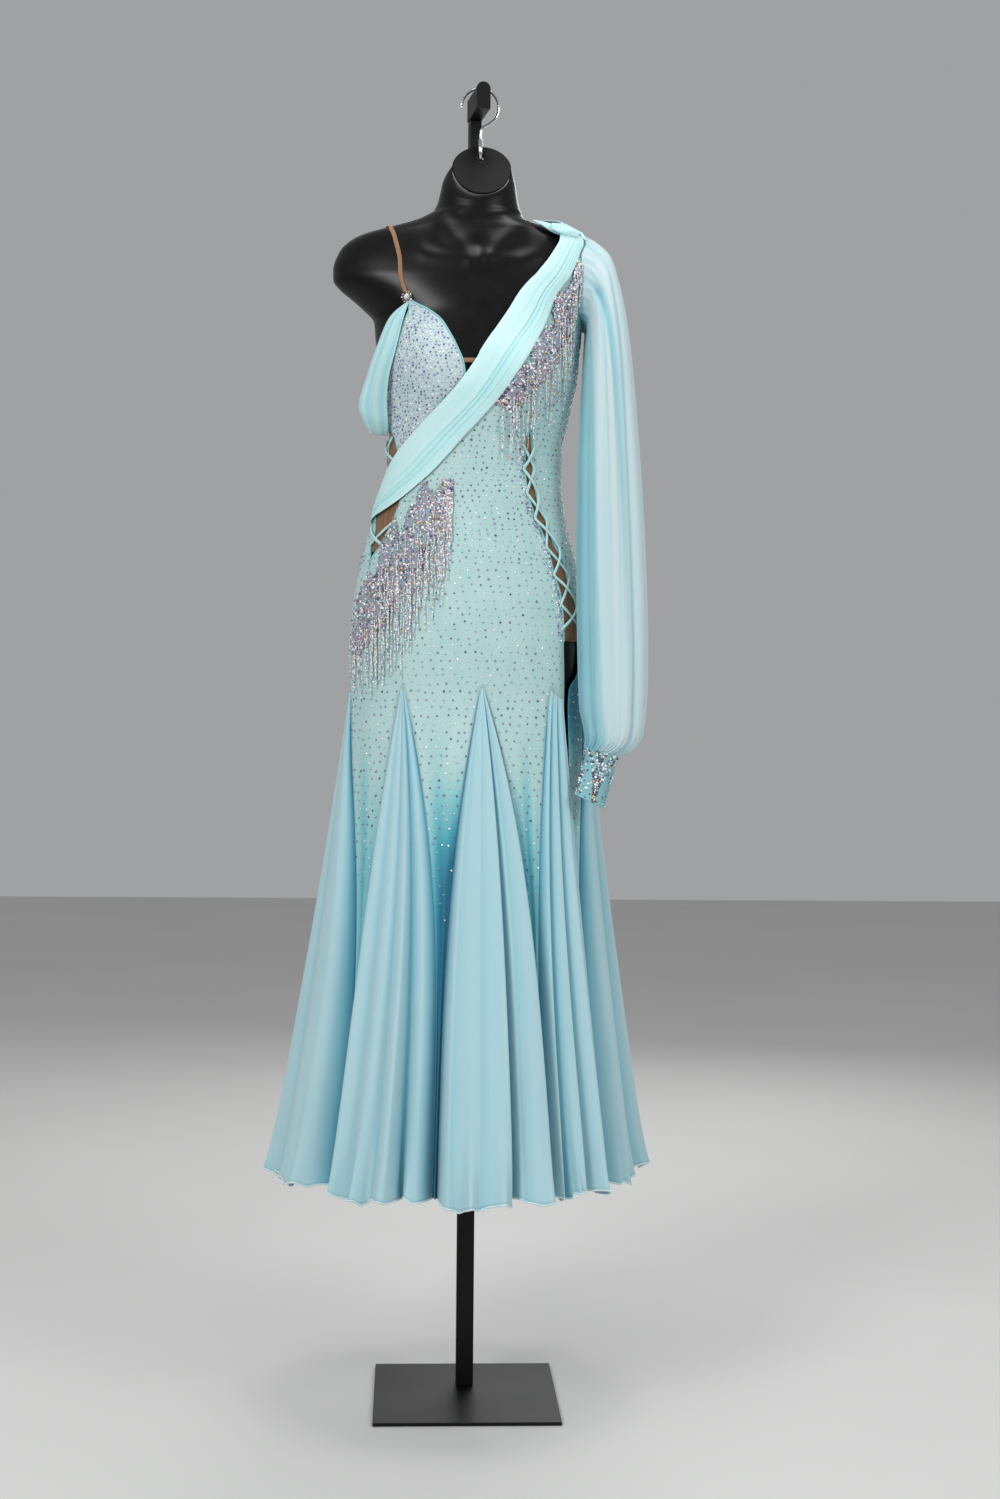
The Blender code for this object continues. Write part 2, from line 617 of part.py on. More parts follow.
def insert(name, front, back, low, high, margin, collection):
    """A mesh insert that fills a cut-out between two edges."""
    bm = bmesh.new()
    heights = [low] + [z for z in panel_levels() if low + 0.004 < z < high - 0.004] + [high]
    columns = 3

    def place(column, row):
        """A corner of the insert, just inside the cut-out's edges."""
        z = heights[row]
        start, end = seam_angle(front, z), seam_angle(back, z)
        inset = min(margin, (end - start) / 3)
        return skin(mix(start + inset, end - inset, column / columns), z, MESH_LIFT)

    add_grid(bm, columns, len(heights) - 1, place)
    cloth(name, bm, TAN_MESH, CHIFFON_WALL, collection)


def shoulder_point(x, turn, lift):
    """A point over the left shoulder: turn is an angle, 90 at the crest, and x is kept."""
    low, high = 1.612, 1.688
    for _ in range(40):
        z = (low + high) / 2
        if on_form(turn, z).x > x:
            low = z
        else:
            high = z
    return skin(turn, z, lift)


def shoulder_loop(collection):
    """The chiffon loop over the left shoulder, which joins the front to the back."""
    bm = bmesh.new()
    columns, rows = 5, 12
    front_turn, back_turn = 60.0, 119.0
    crest = (0.091, 0.143)
    ends = (0.116, 0.148)

    def place(column, row):
        """A corner of the loop, from the back over the crest to the front."""
        turn = mix(front_turn, back_turn, row / rows)
        across = column / columns
        aside = (2 * row / rows - 1) ** 2
        x = mix(mix(crest[0], ends[0], aside), mix(crest[1], ends[1], aside), across)
        ridge = 0.8 * cos(across * 4 * pi)
        return shoulder_point(x, turn, mix(*LOOP_LIFTS, aside) + ridge)

    add_grid(bm, columns, rows, place)
    cloth("shoulder_loop", bm, CHIFFON, CHIFFON_WALL, collection)


def sash(collection):
    """The pleated chiffon sash, from the left shoulder to the right side of the waist."""
    bm = bmesh.new()
    columns, rows = 8, 22
    pleats = 2

    def place(column, row):
        """A corner of the sash, with its long pleats."""
        across, along = column / columns, row / rows
        read = {name: smooth_along(SASH, name, 1 - along) for name in Sash._fields}
        angle = mix(read["upper_angle"], read["lower_angle"], across)
        height = mix(read["upper_height"], read["lower_height"], across)
        pleat = 1.3 * cos(across * pleats * 2 * pi) * sin(pi * min(max(along, 0.04), 0.96))
        return skin(angle, height * MM, SASH_LIFT + read["out"] + pleat)

    add_grid(bm, columns, rows, place)
    cloth("sash", bm, CHIFFON, CHIFFON_WALL, collection)


def ring_place(rings, columns, rows, folds):
    """A tube through rings, told by their column round the ring and their row from the last."""
    def place(column, row):
        """A corner of the tube."""
        share = 1 - row / rows
        read = {name: smooth_along(rings, name, share) for name in Ring._fields}
        turn = 2 * pi * column / columns
        inner = Vector((read["inner_x"], 0, read["inner_z"]))
        outer = Vector((read["outer_x"], 0, read["outer_z"]))
        reach = (outer - inner) / 2
        wave = 1 + read["fold"] * cos(folds * turn) / reach.length
        point = (inner + outer) / 2 + reach * sin(turn) * wave
        point.y = read["middle"] - read["half_depth"] * cos(turn) * wave
        return point * MM
    return place


def sleeve(collection):
    """The left bishop sleeve, open at the armhole and gathered at the cuff."""
    bm = bmesh.new()
    rows = len(SLEEVE) - 2
    add_grid(bm, SLEEVE_COLUMNS, rows, ring_place(SLEEVE, SLEEVE_COLUMNS, rows, SLEEVE_FOLDS))
    cloth("left_sleeve", bm, CHIFFON, CHIFFON_WALL, collection)


def cuff(collection):
    """The beaded cuff at the end of the sleeve."""
    bm = bmesh.new()
    columns, rows = 16, 3
    add_grid(bm, columns, rows, ring_place(CUFF, columns, rows, 1))
    cloth("left_cuff", bm, STRETCH, 2.0, collection)


def armlet(collection):
    """The chiffon armlet that hangs from the jewel, under the arm's place, to the back."""
    bm = bmesh.new()
    columns, rows = 4, 17

    def place(column, row):
        """A corner of the armlet."""
        across, along = column / columns, row / rows
        read = {name: smooth_along(ARMLET, name, along) for name in Drape._fields}
        point = read["inner"].lerp(read["outer"], across)
        ripple = cos(across * 3 * pi) * min(1, 8 * along, 8 - 8 * along)
        belly = sin(pi * across) * read["bulge"] + ripple
        side = Vector((-0.75, -0.6 * cos(pi * along), -0.3 * sin(pi * along))).normalized()
        return (point + side * belly) * MM

    add_grid(bm, columns, rows, place)
    cloth("right_armlet", bm, CHIFFON, CHIFFON_WALL, collection)


def ribbon(name, stations, width, wall, finish, collection):
    """A flat band through stations of a point and its outward direction."""
    bm = bmesh.new()
    last = len(stations) - 1

    def place(column, row):
        """A corner on one side of the band."""
        point, outward = stations[row]
        along = stations[min(row + 1, last)][0] - stations[max(row - 1, 0)][0]
        side = along.cross(outward).normalized()
        return point - side * width * MM * (0.5 - column)

    add_grid(bm, 1, last, place)
    cloth(name, bm, finish, wall, collection)


def strap(collection):
    """The elastic strap, over the right shoulder and then straight to the back panel."""
    rows = 22
    stations = []
    for row in range(rows + 1):
        angle = smooth_along(STRAP, "angle", row / rows)
        z = smooth_along(STRAP, "height", row / rows) * MM
        stations.append((skin(angle, z, STRAP_LIFT), skin_normal(angle, z)))
    crest = stations[-1][0]
    end = skin(STRAP_END.angle, STRAP_END.height * MM, PANEL_LIFT + CHIFFON_WALL + 2 * GAP)
    outward = skin_normal(STRAP_END.angle, STRAP_END.height * MM)
    for step in range(1, STRAP_STRAIGHT + 1):
        stations.append((crest.lerp(end, step / STRAP_STRAIGHT), outward))
    ribbon("right_strap", stations, STRAP_WIDTH, CHIFFON_WALL, ELASTIC, collection)


def bridge(collection):
    """The elastic bridge at the bottom of the V, which goes under the sash."""
    rows = 6
    stations = []
    for row in range(rows + 1):
        angle = smooth_along(BRIDGE, "angle", row / rows)
        z = smooth_along(BRIDGE, "height", row / rows) * MM
        stations.append((skin(angle, z, PANEL_LIFT), skin_normal(angle, z)))
    ribbon("bridge_elastic", stations, 7, CHIFFON_WALL, ELASTIC, collection)


def jewel(collection):
    """The crystal where the strap, the cup and the armlet meet."""
    bm = bmesh.new()
    bmesh.ops.create_uvsphere(bm, u_segments=12, v_segments=7, radius=JEWEL_RADIUS * MM)
    facing = skin_normal(-36, 1.556)
    flatten = Matrix.Diagonal((1, 1, JEWEL_FLAT, 1))
    turn = facing.to_track_quat("Z", "Y").to_matrix().to_4x4()
    lift = STRAP_LIFT + 2 * GAP + JEWEL_RADIUS * JEWEL_FLAT
    place = Matrix.Translation(skin(-35.6, 1.557, lift))
    bmesh.ops.transform(bm, matrix=place @ turn @ flatten, verts=bm.verts)
    mesh_object("jewel", bm, CRYSTAL, collection)


# Each lacing's turns: height in millimetres and the angle at each side of the cut-out
Turn = namedtuple("Turn", "height front back")
LEFT_TURNS = (
    Turn(1350, 31.5, 40.5), Turn(1318, 32, 41.5), Turn(1284, 34.5, 44.5), Turn(1248, 40, 50.5),
    Turn(1208, 45, 57), Turn(1170, 47.5, 63), Turn(1130, 51, 68.5), Turn(1096, 51.5, 71.5),
)
RIGHT_UPPER_TURNS = (Turn(1366, -68, -98), Turn(1346, -64.5, -104))
RIGHT_LOWER_TURNS = (Turn(1240, -51.5, -81), Turn(1211, -56, -69))


def cord(name, turns, starts_in_front, extra, collection):
    """One zigzag cord of a lacing, raised by the extra lift where it crosses the other cord."""
    stations = []
    steps = 6
    for i in range(len(turns) - 1):
        here, there = turns[i], turns[i + 1]
        forward = (i % 2 == 0) == starts_in_front
        start, end = (here.front, there.back) if forward else (here.back, there.front)
        widths = abs(here.back - here.front), abs(there.back - there.front)
        crossing = widths[0] / sum(widths)
        for step in range(steps + (i == len(turns) - 2)):
            share = step / steps
            half = share / crossing if share < crossing else (1 - share) / (1 - crossing)
            angle, z = mix(start, end, share), mix(here.height, there.height, share) * MM
            lift = CORD_LIFT + extra * sin(pi / 2 * min(1, 1.2 * half)) ** 2
            stations.append((skin(angle, z, lift), skin_normal(angle, z)))
    ribbon(name, stations, CORD_WIDTH, CORD_WALL, STRETCH, collection)


def lacings(collection):
    """The crossing cords over each cut-out, one lying over the other."""
    for side, turns in (("left", LEFT_TURNS), ("right_upper", RIGHT_UPPER_TURNS),
                        ("right_lower", RIGHT_LOWER_TURNS)):
        cord(f"{side}_cord_under", turns, True, 0, collection)
        cord(f"{side}_cord_over", turns, False, CORD_OVER, collection)


def fringe(name, band, lift, strands, bare, collection):
    """An applique band with bead strands that hang from its lower edge, past a bare share."""
    bm = bmesh.new()
    columns = 2 * strands
    rows = STRAND_STEPS + 1

    def place(column, row):
        """A corner of the band, or of a strand that hangs under it."""
        share = column / columns
        read = {field: smooth_along(band, field, share) for field in Band._fields}
        low_z = read["lower_height"] * MM
        if row >= STRAND_STEPS:
            up = row - STRAND_STEPS
            angle = mix(read["lower_angle"], read["upper_angle"], up)
            return skin(angle, mix(low_z, read["upper_height"] * MM, up), lift)
        hang = (STRAND_STEPS - row) / STRAND_STEPS
        number = column // 2
        uneven = 0.78 + 0.22 * cos(2.4 * number)
        root = (column + 0.5) // 2 * 2
        near = smooth_along(band, "lower_angle", share)
        length = smooth_along(band, "length", root / columns) * uneven * MM
        z = low_z - length * hang
        x = skin(near, low_z, lift).x
        return skin(angle_at(x, z, lift), z, lift)

    def keep(column, row):
        """The band whole, and every other column of the strands."""
        return row >= STRAND_STEPS or (column % 2 == 0 and column >= bare * columns)

    add_grid(bm, columns, rows, place, keep)
    cloth(name, bm, CRYSTAL, APPLIQUE_WALL, collection)


def angle_at(x, z, lift):
    """The angle where the front of the body, moved out, passes a place along X."""
    centre = smooth_at(TORSO, "height", "centre", z / MM)
    half = smooth_at(TORSO, "height", "half", z / MM) + lift
    share = (x / MM - centre) / half
    return degrees(asin(max(-0.99, min(0.99, share))))


def cap_height(y):
    """The height of the neck's slanted cut at a place along Y."""
    return CAP_POINT[1] + (y - CAP_POINT[0]) * CAP_SLOPE


def torso_form(collection):
    """The torso form: a moulded shell that is open at the back and at the bottom."""
    bm = bmesh.new()
    columns = 20
    heights = [FORM_BOTTOM]
    heights += levels_between(0.985, 1.503, 0.052)
    heights += [1.533, 1.557, 1.576, 1.594, 1.614, 1.636, 1.650, 1.659, 1.667, 1.675, 1.684]
    neck = 3

    def place(column, row):
        """A corner of the shell, whose neck ends at the slanted cut."""
        angle = mix(-FORM_EDGE, FORM_EDGE, column / columns)
        if row < len(heights):
            inset = FORM_INSET if heights[row] < FORM_INSET_TOP else 0
            return skin(angle, heights[row], -inset)
        top = CAP_POINT[1]
        inset = FORM_WALL * MM * min(0, cos(radians(angle)))
        for _ in range(12):
            top = cap_height(on_form(angle, top).y + inset)
        share = (row - len(heights) + 1) / neck
        return on_form(angle, mix(heights[-1], top, share))

    add_grid(bm, columns, len(heights) - 1 + neck, place)
    cloth("torso_form", bm, BLACK_GLOSS, FORM_WALL, collection)


def neck_cap(collection):
    """The slanted plate that closes the neck, with a round hole for the hook's foot."""
    bm = bmesh.new()
    columns, rows = 28, 1
    neck = TORSO[1]
    wide = CAP_HALF

    def place(column, row):
        """A corner of the cap, from the hole outwards."""
        turn = 2 * pi * column / columns
        ahead = cos(turn)
        reach = neck.front if ahead > 0 else neck.back
        rim = Vector((neck.centre * MM + wide * sin(turn), (neck.middle - reach * ahead) * MM, 0))
        hole = Vector((HOOK_X + CAP_HOLE * sin(turn), HOOK_Y - CAP_HOLE * ahead - HOOK_WIRE / 2, 0))
        point = rim.lerp(hole, row / rows)
        point.z = cap_height(point.y) + CAP_RISE
        return point

    add_grid(bm, columns, rows, place)
    cloth("neck_cap", bm, BLACK_GLOSS, CAP_WALL / MM, collection)


def wire(name, points, radius, finish, collection):
    """A round wire through points, each with its girth, and with closed ends."""
    curve = bpy.data.curves.new(name, "CURVE")
    curve.dimensions = "3D"
    curve.bevel_depth = radius
    curve.bevel_resolution = 2
    curve.use_fill_caps = True
    spline = curve.splines.new("POLY")
    spline.points.add(len(points) - 1)
    for slot, (point, girth) in zip(spline.points, points):
        slot.co = (*point, 1)
        slot.radius = girth
    guide = bpy.data.objects.new(name + "_curve", curve)
    collection.objects.link(guide)
    graph = bpy.context.evaluated_depsgraph_get()
    mesh = bpy.data.meshes.new_from_object(guide.evaluated_get(graph))
    bm = bmesh.new()
    bm.from_mesh(mesh)
    bmesh.ops.remove_doubles(bm, verts=bm.verts, dist=1e-6)
    bpy.data.objects.remove(guide)
    bpy.data.curves.remove(curve)
    bpy.data.meshes.remove(mesh)
    return mesh_object(name, bm, finish, collection)


def hook(collection):
    """The chrome hook, from the neck cap over the stand's arm."""
    half_arm = ARM_WIDTH / 2 / cos(POST_YAW)
    inner = HOOK_RADIUS - HOOK_WIRE
    sag = inner - (inner ** 2 - half_arm ** 2) ** 0.5
    centre_z = ARM_TOP + GAP * MM + sag + HOOK_WIRE - HOOK_RADIUS
    middle_x = (POST_AXIS_Y - HOOK_Y) * tan(POST_YAW)
    points = []
    for step in range(20):
        turn = radians(mix(178, -48, step / 19))
        points.append((middle_x + HOOK_RADIUS * cos(turn), centre_z + HOOK_RADIUS * sin(turn), 1))
    for across, below in HOOK_BEND:
        points.append((middle_x + across, centre_z - below, 1))
    ferrule_top = centre_z - HOOK_NECK
    base = cap_height(HOOK_Y) - CAP_RISE
    points.append((HOOK_X, ferrule_top, 1))
    points.append((HOOK_X, ferrule_top - 0.0005, FERRULE))
    points.append((HOOK_X, base, FERRULE))
    wire("hook", [((x, HOOK_Y, z), girth) for x, z, girth in points], HOOK_WIRE, CHROME,
         collection)


def box(name, low, high, finish, collection, bevel=0.0, turn=0.0, pivot=(0, 0)):
    """A box between two corners, turned about an upright axis."""
    bm = bmesh.new()
    bmesh.ops.create_cube(bm, size=1)
    low, high = Vector(low), Vector(high)
    size = high - low
    bmesh.ops.scale(bm, vec=size, verts=bm.verts)
    bmesh.ops.translate(bm, vec=(low + high) / 2, verts=bm.verts)
    if turn:
        centre = Vector((*pivot, 0))
        bmesh.ops.rotate(bm, cent=centre, matrix=Matrix.Rotation(turn, 3, "Z"), verts=bm.verts)
    item = mesh_object(name, bm, finish, collection)
    if bevel:
        edge = item.modifiers.new("edge", "BEVEL")
        edge.width = bevel
        edge.segments = 2
    return item


def stand(collection):
    """The base plate, the two posts and the arm with its upturned tongue."""
    wide, deep, thick = PLATE
    box("base_plate", (-wide / 2, -deep / 2, 0), (wide / 2, deep / 2, thick), BLACK_STEEL,
        collection, bevel=0.0008)
    half = LOWER_POST / 2
    box("lower_post", (-half, POST_AXIS_Y - half, thick + GAP * MM),
        (half, POST_AXIS_Y + half, LOWER_POST_TOP), BLACK_STEEL, collection, bevel=0.001)
    half = UPPER_POST / 2
    pivot = (0, POST_AXIS_Y)
    box("upper_post", (-half, POST_AXIS_Y - half, LOWER_POST_TOP + GAP * MM),
        (half, POST_AXIS_Y + half, UPPER_POST_TOP), BLACK_STEEL, collection, bevel=0.0008,
        turn=POST_YAW, pivot=pivot)
    half = ARM_WIDTH / 2
    low = UPPER_POST_TOP + GAP * MM
    box("arm", (-half, POST_AXIS_Y - ARM_REACH, low), (half, POST_AXIS_Y + ARM_BACK, ARM_TOP),
        BLACK_STEEL, collection, bevel=0.0008, turn=POST_YAW, pivot=pivot)
    tongue(low, collection)


def tongue(low, collection):
    """The plate at the arm's front end, with a round top that keeps the hook on."""
    outline = [Vector((-ARM_WIDTH / 2, low)), Vector((ARM_WIDTH / 2, low))]
    radius = ARM_WIDTH / 2
    for step in range(11):
        turn = pi * step / 10
        outline.append(Vector((radius * cos(turn), TONGUE_TOP - radius + radius * sin(turn))))
    bm = bmesh.new()
    front = POST_AXIS_Y - ARM_REACH - GAP * MM - TONGUE
    ring = [bm.verts.new((point.x, front, point.y)) for point in outline]
    face = bm.faces.new(ring)
    grown = bmesh.ops.extrude_face_region(bm, geom=[face])
    moved = [item for item in grown["geom"] if isinstance(item, bmesh.types.BMVert)]
    bmesh.ops.translate(bm, vec=(0, TONGUE, 0), verts=moved)
    bmesh.ops.recalc_face_normals(bm, faces=bm.faces)
    bmesh.ops.rotate(bm, cent=(0, POST_AXIS_Y, 0), matrix=Matrix.Rotation(POST_YAW, 3, "Z"),
                     verts=bm.verts)
    mesh_object("arm_tongue", bm, BLACK_STEEL, collection)


def main():
    """Build every piece."""
    for old in list(bpy.data.objects):
        bpy.data.objects.remove(old)
    collection = bpy.data.collections.new("ballroom_gown")
    bpy.context.scene.collection.children.link(collection)
    stand(collection)
    torso_form(collection)
    neck_cap(collection)
    hook(collection)
    front_panel(collection)
    back_panel(collection)
    right_cup(collection)
    for number, shape in enumerate(GODETS, 1):
        godet(number, shape, collection)
    insert("left_insert", CUTOUT_FRONT, CUTOUT_BACK, 1.0795, 1.362, 0.35, collection)
    right_back = tuple(edge._replace(angle=edge.angle - 360) for edge in BACK_RIGHT_SIDE)
    right_front = CUP_SIDE[6:] + tuple(edge for edge in FRONT_RIGHT_SIDE if edge.height < 1300)
    insert("right_insert", right_back, right_front, 1.202, 1.385, 3.0, collection)
    lacings(collection)
    sash(collection)
    shoulder_loop(collection)
    sleeve(collection)
    cuff(collection)
    armlet(collection)
    strap(collection)
    bridge(collection)
    jewel(collection)
    fringe("hip_fringe", HIP_BAND, HIP_BAND_LIFT, 19, 0, collection)
    fringe("bust_fringe", BUST_BAND, BUST_BAND_LIFT, 15, 0.4, collection)


main()
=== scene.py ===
"""The looks of a long one-sleeved ballroom gown on a hanging torso form and its stand.

Tables, lifts and places along the body are in millimetres and angles in degrees, and every mesh is
made in metres. The front faces -Y and the wearer's left side is at +X. An angle goes round the body
from the front centre, 90 at +X. A lift is a distance out from the torso's surface.
"""

import json
import logging
import math
from dataclasses import dataclass, field
from enum import Enum
from typing import Any, Callable, NamedTuple, Sequence

import bmesh
import bpy
import numpy as np
from mathutils import Matrix, Vector

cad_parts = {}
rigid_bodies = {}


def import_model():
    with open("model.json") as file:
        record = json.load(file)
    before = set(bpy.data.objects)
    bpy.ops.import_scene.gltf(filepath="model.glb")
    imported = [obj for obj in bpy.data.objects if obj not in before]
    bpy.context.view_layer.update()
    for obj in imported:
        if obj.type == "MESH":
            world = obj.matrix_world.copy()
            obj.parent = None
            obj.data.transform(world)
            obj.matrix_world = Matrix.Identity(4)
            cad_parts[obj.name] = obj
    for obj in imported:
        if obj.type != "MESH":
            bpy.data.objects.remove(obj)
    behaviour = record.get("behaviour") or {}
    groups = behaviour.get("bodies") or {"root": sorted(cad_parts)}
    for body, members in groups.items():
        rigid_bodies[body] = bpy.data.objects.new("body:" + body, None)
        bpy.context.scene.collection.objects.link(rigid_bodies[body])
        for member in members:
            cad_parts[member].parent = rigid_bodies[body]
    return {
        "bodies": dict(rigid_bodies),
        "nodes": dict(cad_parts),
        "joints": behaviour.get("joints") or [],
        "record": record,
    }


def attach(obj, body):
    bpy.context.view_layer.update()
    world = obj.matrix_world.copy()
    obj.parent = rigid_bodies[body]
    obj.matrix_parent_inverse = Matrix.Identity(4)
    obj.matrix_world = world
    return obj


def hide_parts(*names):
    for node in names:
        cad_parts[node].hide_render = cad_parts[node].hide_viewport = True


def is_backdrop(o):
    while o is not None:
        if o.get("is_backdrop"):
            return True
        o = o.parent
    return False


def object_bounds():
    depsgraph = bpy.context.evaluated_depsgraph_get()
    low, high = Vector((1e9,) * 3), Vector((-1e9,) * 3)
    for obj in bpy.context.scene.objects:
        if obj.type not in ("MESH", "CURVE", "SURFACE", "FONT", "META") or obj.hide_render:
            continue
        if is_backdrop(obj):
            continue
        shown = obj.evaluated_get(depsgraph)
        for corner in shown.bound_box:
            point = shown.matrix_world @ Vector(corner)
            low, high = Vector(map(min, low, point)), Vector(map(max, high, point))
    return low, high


log = logging.getLogger("ballroom_gown")

MM = 0.001
WELD = 2e-5
BODY = "root"

Array = np.ndarray
Place = Callable[[Array, Array], Array]
Mark = Callable[[Array, Array], Array]


class Section(NamedTuple):
    """One half-ellipse section of the torso."""

    height: float
    centre: float
    half: float
    front: float
    back: float
    middle: float


TORSO = (
    Section(1790, 8, 38, 38, 34, -18),
    Section(1758, 8.5, 43, 42, 36, -16),
    Section(1740, 5, 50, 45, 38, -14),
    Section(1721, 4.5, 53.5, 48, 40, -12),
    Section(1703, 4, 57.5, 51, 43, -9),
    Section(1690, 3, 63.5, 54, 46, -7),
    Section(1680, -3, 76, 56, 49, -5),
    Section(1669, -2, 113, 60, 52, -2),
    Section(1663, -1, 137, 63, 54, -1),
    Section(1656, -4.5, 158, 66, 57, 0),
    Section(1648, -5, 173, 69, 58, 0),
    Section(1634, -5, 187, 74, 60, 0),
    Section(1607, -5, 196.5, 82, 63, 0),
    Section(1592, -5.5, 195.5, 86, 64, 0),
    Section(1580, -5, 187, 89, 65, 0),
    Section(1566, -3, 172, 93, 67, 0),
    Section(1555, -1, 161, 96, 68, 0),
    Section(1533, 3.5, 146, 101, 70, 0),
    Section(1503, 3.5, 143.5, 107, 72, 0),
    Section(1475, 5, 140, 111, 72, 0),
    Section(1439, 8, 132.5, 111, 71, 0),
    Section(1400, 7, 125, 106, 69, 0),
    Section(1353, 3, 119, 98, 66, 0),
    Section(1317, 2, 119, 95, 66, 0),
    Section(1281, -1, 124.5, 97, 68, 0),
    Section(1248, -4, 132.5, 101, 71, 0),
    Section(1204, -5, 146, 107, 76, 0),
    Section(1175, -5, 152, 110, 79, 0),
    Section(1127, -5.5, 159, 114, 83, 0),
    Section(1067, -5.5, 162.5, 116, 86, 0),
    Section(1010, -5, 163, 115, 86, 0),
    Section(930, -5, 159, 112, 84, 0),
)


class Bust(NamedTuple):
    """The two soft mounds of a general figure."""

    centre: float
    apart: float
    height: float
    wide: float
    tall: float
    out: float


BUST = Bust(4, 68, 1450, 42, 48, 22)


class Edge(NamedTuple):
    """A point of an edge on the body."""

    height: float
    angle: float


FRONT_RIGHT_SIDE = (
    Edge(1650, 47), Edge(1618, 39.6), Edge(1582, 33.2), Edge(1537, 29.6), Edge(1480, 16.5),
    Edge(1432, 2.5), Edge(1385, -15.9), Edge(1331, -37), Edge(1302, -53), Edge(1258, -50.8),
    Edge(1239, -52.6), Edge(1212, -56.2), Edge(1190, -64.7), Edge(1150, -69), Edge(1100, -75),
    Edge(1050, -80), Edge(1012, -84.3),
)
LEFT_ARMHOLE = (
    Edge(1650, 62.6), Edge(1620, 51.5), Edge(1600, 50.2), Edge(1580, 52.8), Edge(1560, 61),
    Edge(1545, 68), Edge(1535, 75), Edge(1520, 84), Edge(1500, 88), Edge(1400, 91),
    Edge(1200, 90), Edge(1100, 87), Edge(1050, 84), Edge(1012, 81.3),
)
CUTOUT_FRONT = (
    Edge(1375, 35), Edge(1360, 32.6), Edge(1312, 34), Edge(1280, 36.4), Edge(1257, 40.3),
    Edge(1231, 44.2), Edge(1205, 46.8), Edge(1178, 48), Edge(1159, 50.5), Edge(1138, 52.4),
    Edge(1117, 53), Edge(1012, 53),
)
CUTOUT_BACK = (
    Edge(1375, 35), Edge(1361, 37.8), Edge(1327, 40), Edge(1298, 41), Edge(1287, 43.1),
    Edge(1263, 45.4), Edge(1246, 50.4), Edge(1214, 53), Edge(1195, 58.6), Edge(1160, 62),
    Edge(1137, 67), Edge(1110, 71), Edge(1080, 73.5), Edge(1050, 71), Edge(1030, 65),
    Edge(1012, 57.5),
)
BACK_LEFT_SIDE = (
    Edge(1650, 117.4), Edge(1620, 128.5), Edge(1600, 129.8), Edge(1580, 127.2), Edge(1560, 119),
    Edge(1545, 112), Edge(1535, 105), Edge(1520, 96), Edge(1500, 90), Edge(1400, 91),
    Edge(1200, 90), Edge(1100, 87), Edge(1050, 84), Edge(1012, 82.6),
)
BACK_RIGHT_SIDE = (
    Edge(1650, 133), Edge(1620, 143), Edge(1600, 148), Edge(1580, 152), Edge(1560, 158),
    Edge(1540, 166), Edge(1520, 176), Edge(1500, 188), Edge(1480, 201), Edge(1460, 217),
    Edge(1440, 235), Edge(1425, 250), Edge(1410, 260), Edge(1380, 256), Edge(1340, 254),
    Edge(1300, 260), Edge(1275, 270), Edge(1253, 280), Edge(1225, 290.9), Edge(1210, 291.2),
    Edge(1190, 295), Edge(1150, 291), Edge(1100, 285), Edge(1050, 280), Edge(1012, 274.4),
)
CUP_SIDE = (
    Edge(1549, -37.5), Edge(1520, -44), Edge(1482, -51.1), Edge(1462, -62), Edge(1443, -76),
    Edge(1424, -87), Edge(1400, -85), Edge(1385, -78), Edge(1372, -70.6), Edge(1353, -64.2),
    Edge(1330, -60), Edge(1308, -57.5),
)
CUP_NECKLINE = (
    Edge(1549, -34.4), Edge(1538, -29.6), Edge(1519, -20.8), Edge(1498, -16.1),
    Edge(1476, -12.6), Edge(1461, -10.7), Edge(1442, -10.2), Edge(1420, -9.8), Edge(1400, -12),
    Edge(1385, -17.6), Edge(1360, -28), Edge(1331, -40), Edge(1308, -53.5),
)


def tone(red: int, green: int, blue: int) -> tuple[float, float, float, float]:
    """A colour from the screen's 0 to 255 scale.

    Args:
        red: The red share on the screen's scale.
        green: The green share.
        blue: The blue share.

    Returns:
        The colour in linear light, with a full alpha.
    """
    def linear(value: int) -> float:
        """One channel in linear light."""
        share = value / 255
        return share / 12.92 if share <= 0.04045 else ((share + 0.055) / 1.055) ** 2.4
    return (linear(red), linear(green), linear(blue), 1.0)


def ease(low: float, high: float, value: Array) -> Array:
    """A soft step from 0 at low to 1 at high."""
    share = np.clip((value - low) / (high - low), 0.0, 1.0)
    return share * share * (3 - 2 * share)


def mix(low: Any, high: Any, share: Any) -> Any:
    """A value between two, at a share of the way."""
    return low + (high - low) * share


def column_of(rows: Sequence[NamedTuple], name: str) -> Array:
    """One named column of a table."""
    return np.array([getattr(entry, name) for entry in rows], dtype=float)


def read(rows: Sequence[NamedTuple], name: str, height: Array) -> Array:
    """A table's column at heights, with no overshoot between the rows.

    Args:
        rows: The table, with its heights in falling order.
        name: The column to read.
        height: The heights to read it at.

    Returns:
        The column's values, held past the table's ends.
    """
    keys = column_of(rows, "height")[::-1]
    values = column_of(rows, name)[::-1]
    steps = np.diff(values) / np.diff(keys)
    before, after = steps[:-1], steps[1:]
    total = np.where(np.abs(before + after) < 1e-12, 1.0, before + after)
    inner = np.where(before * after > 0, 2 * before * after / total, 0.0)
    slopes = np.concatenate(([0.0], inner, [0.0]))
    asked = np.clip(height, keys[0], keys[-1])
    at = np.clip(np.searchsorted(keys, asked, side="right") - 1, 0, len(keys) - 2)
    span = keys[at + 1] - keys[at]
    t = (asked - keys[at]) / span
    return (values[at] * (1 + 2 * t) * (1 - t) ** 2 + slopes[at] * span * t * (1 - t) ** 2
            + values[at + 1] * t * t * (3 - 2 * t) + slopes[at + 1] * span * t * t * (t - 1))


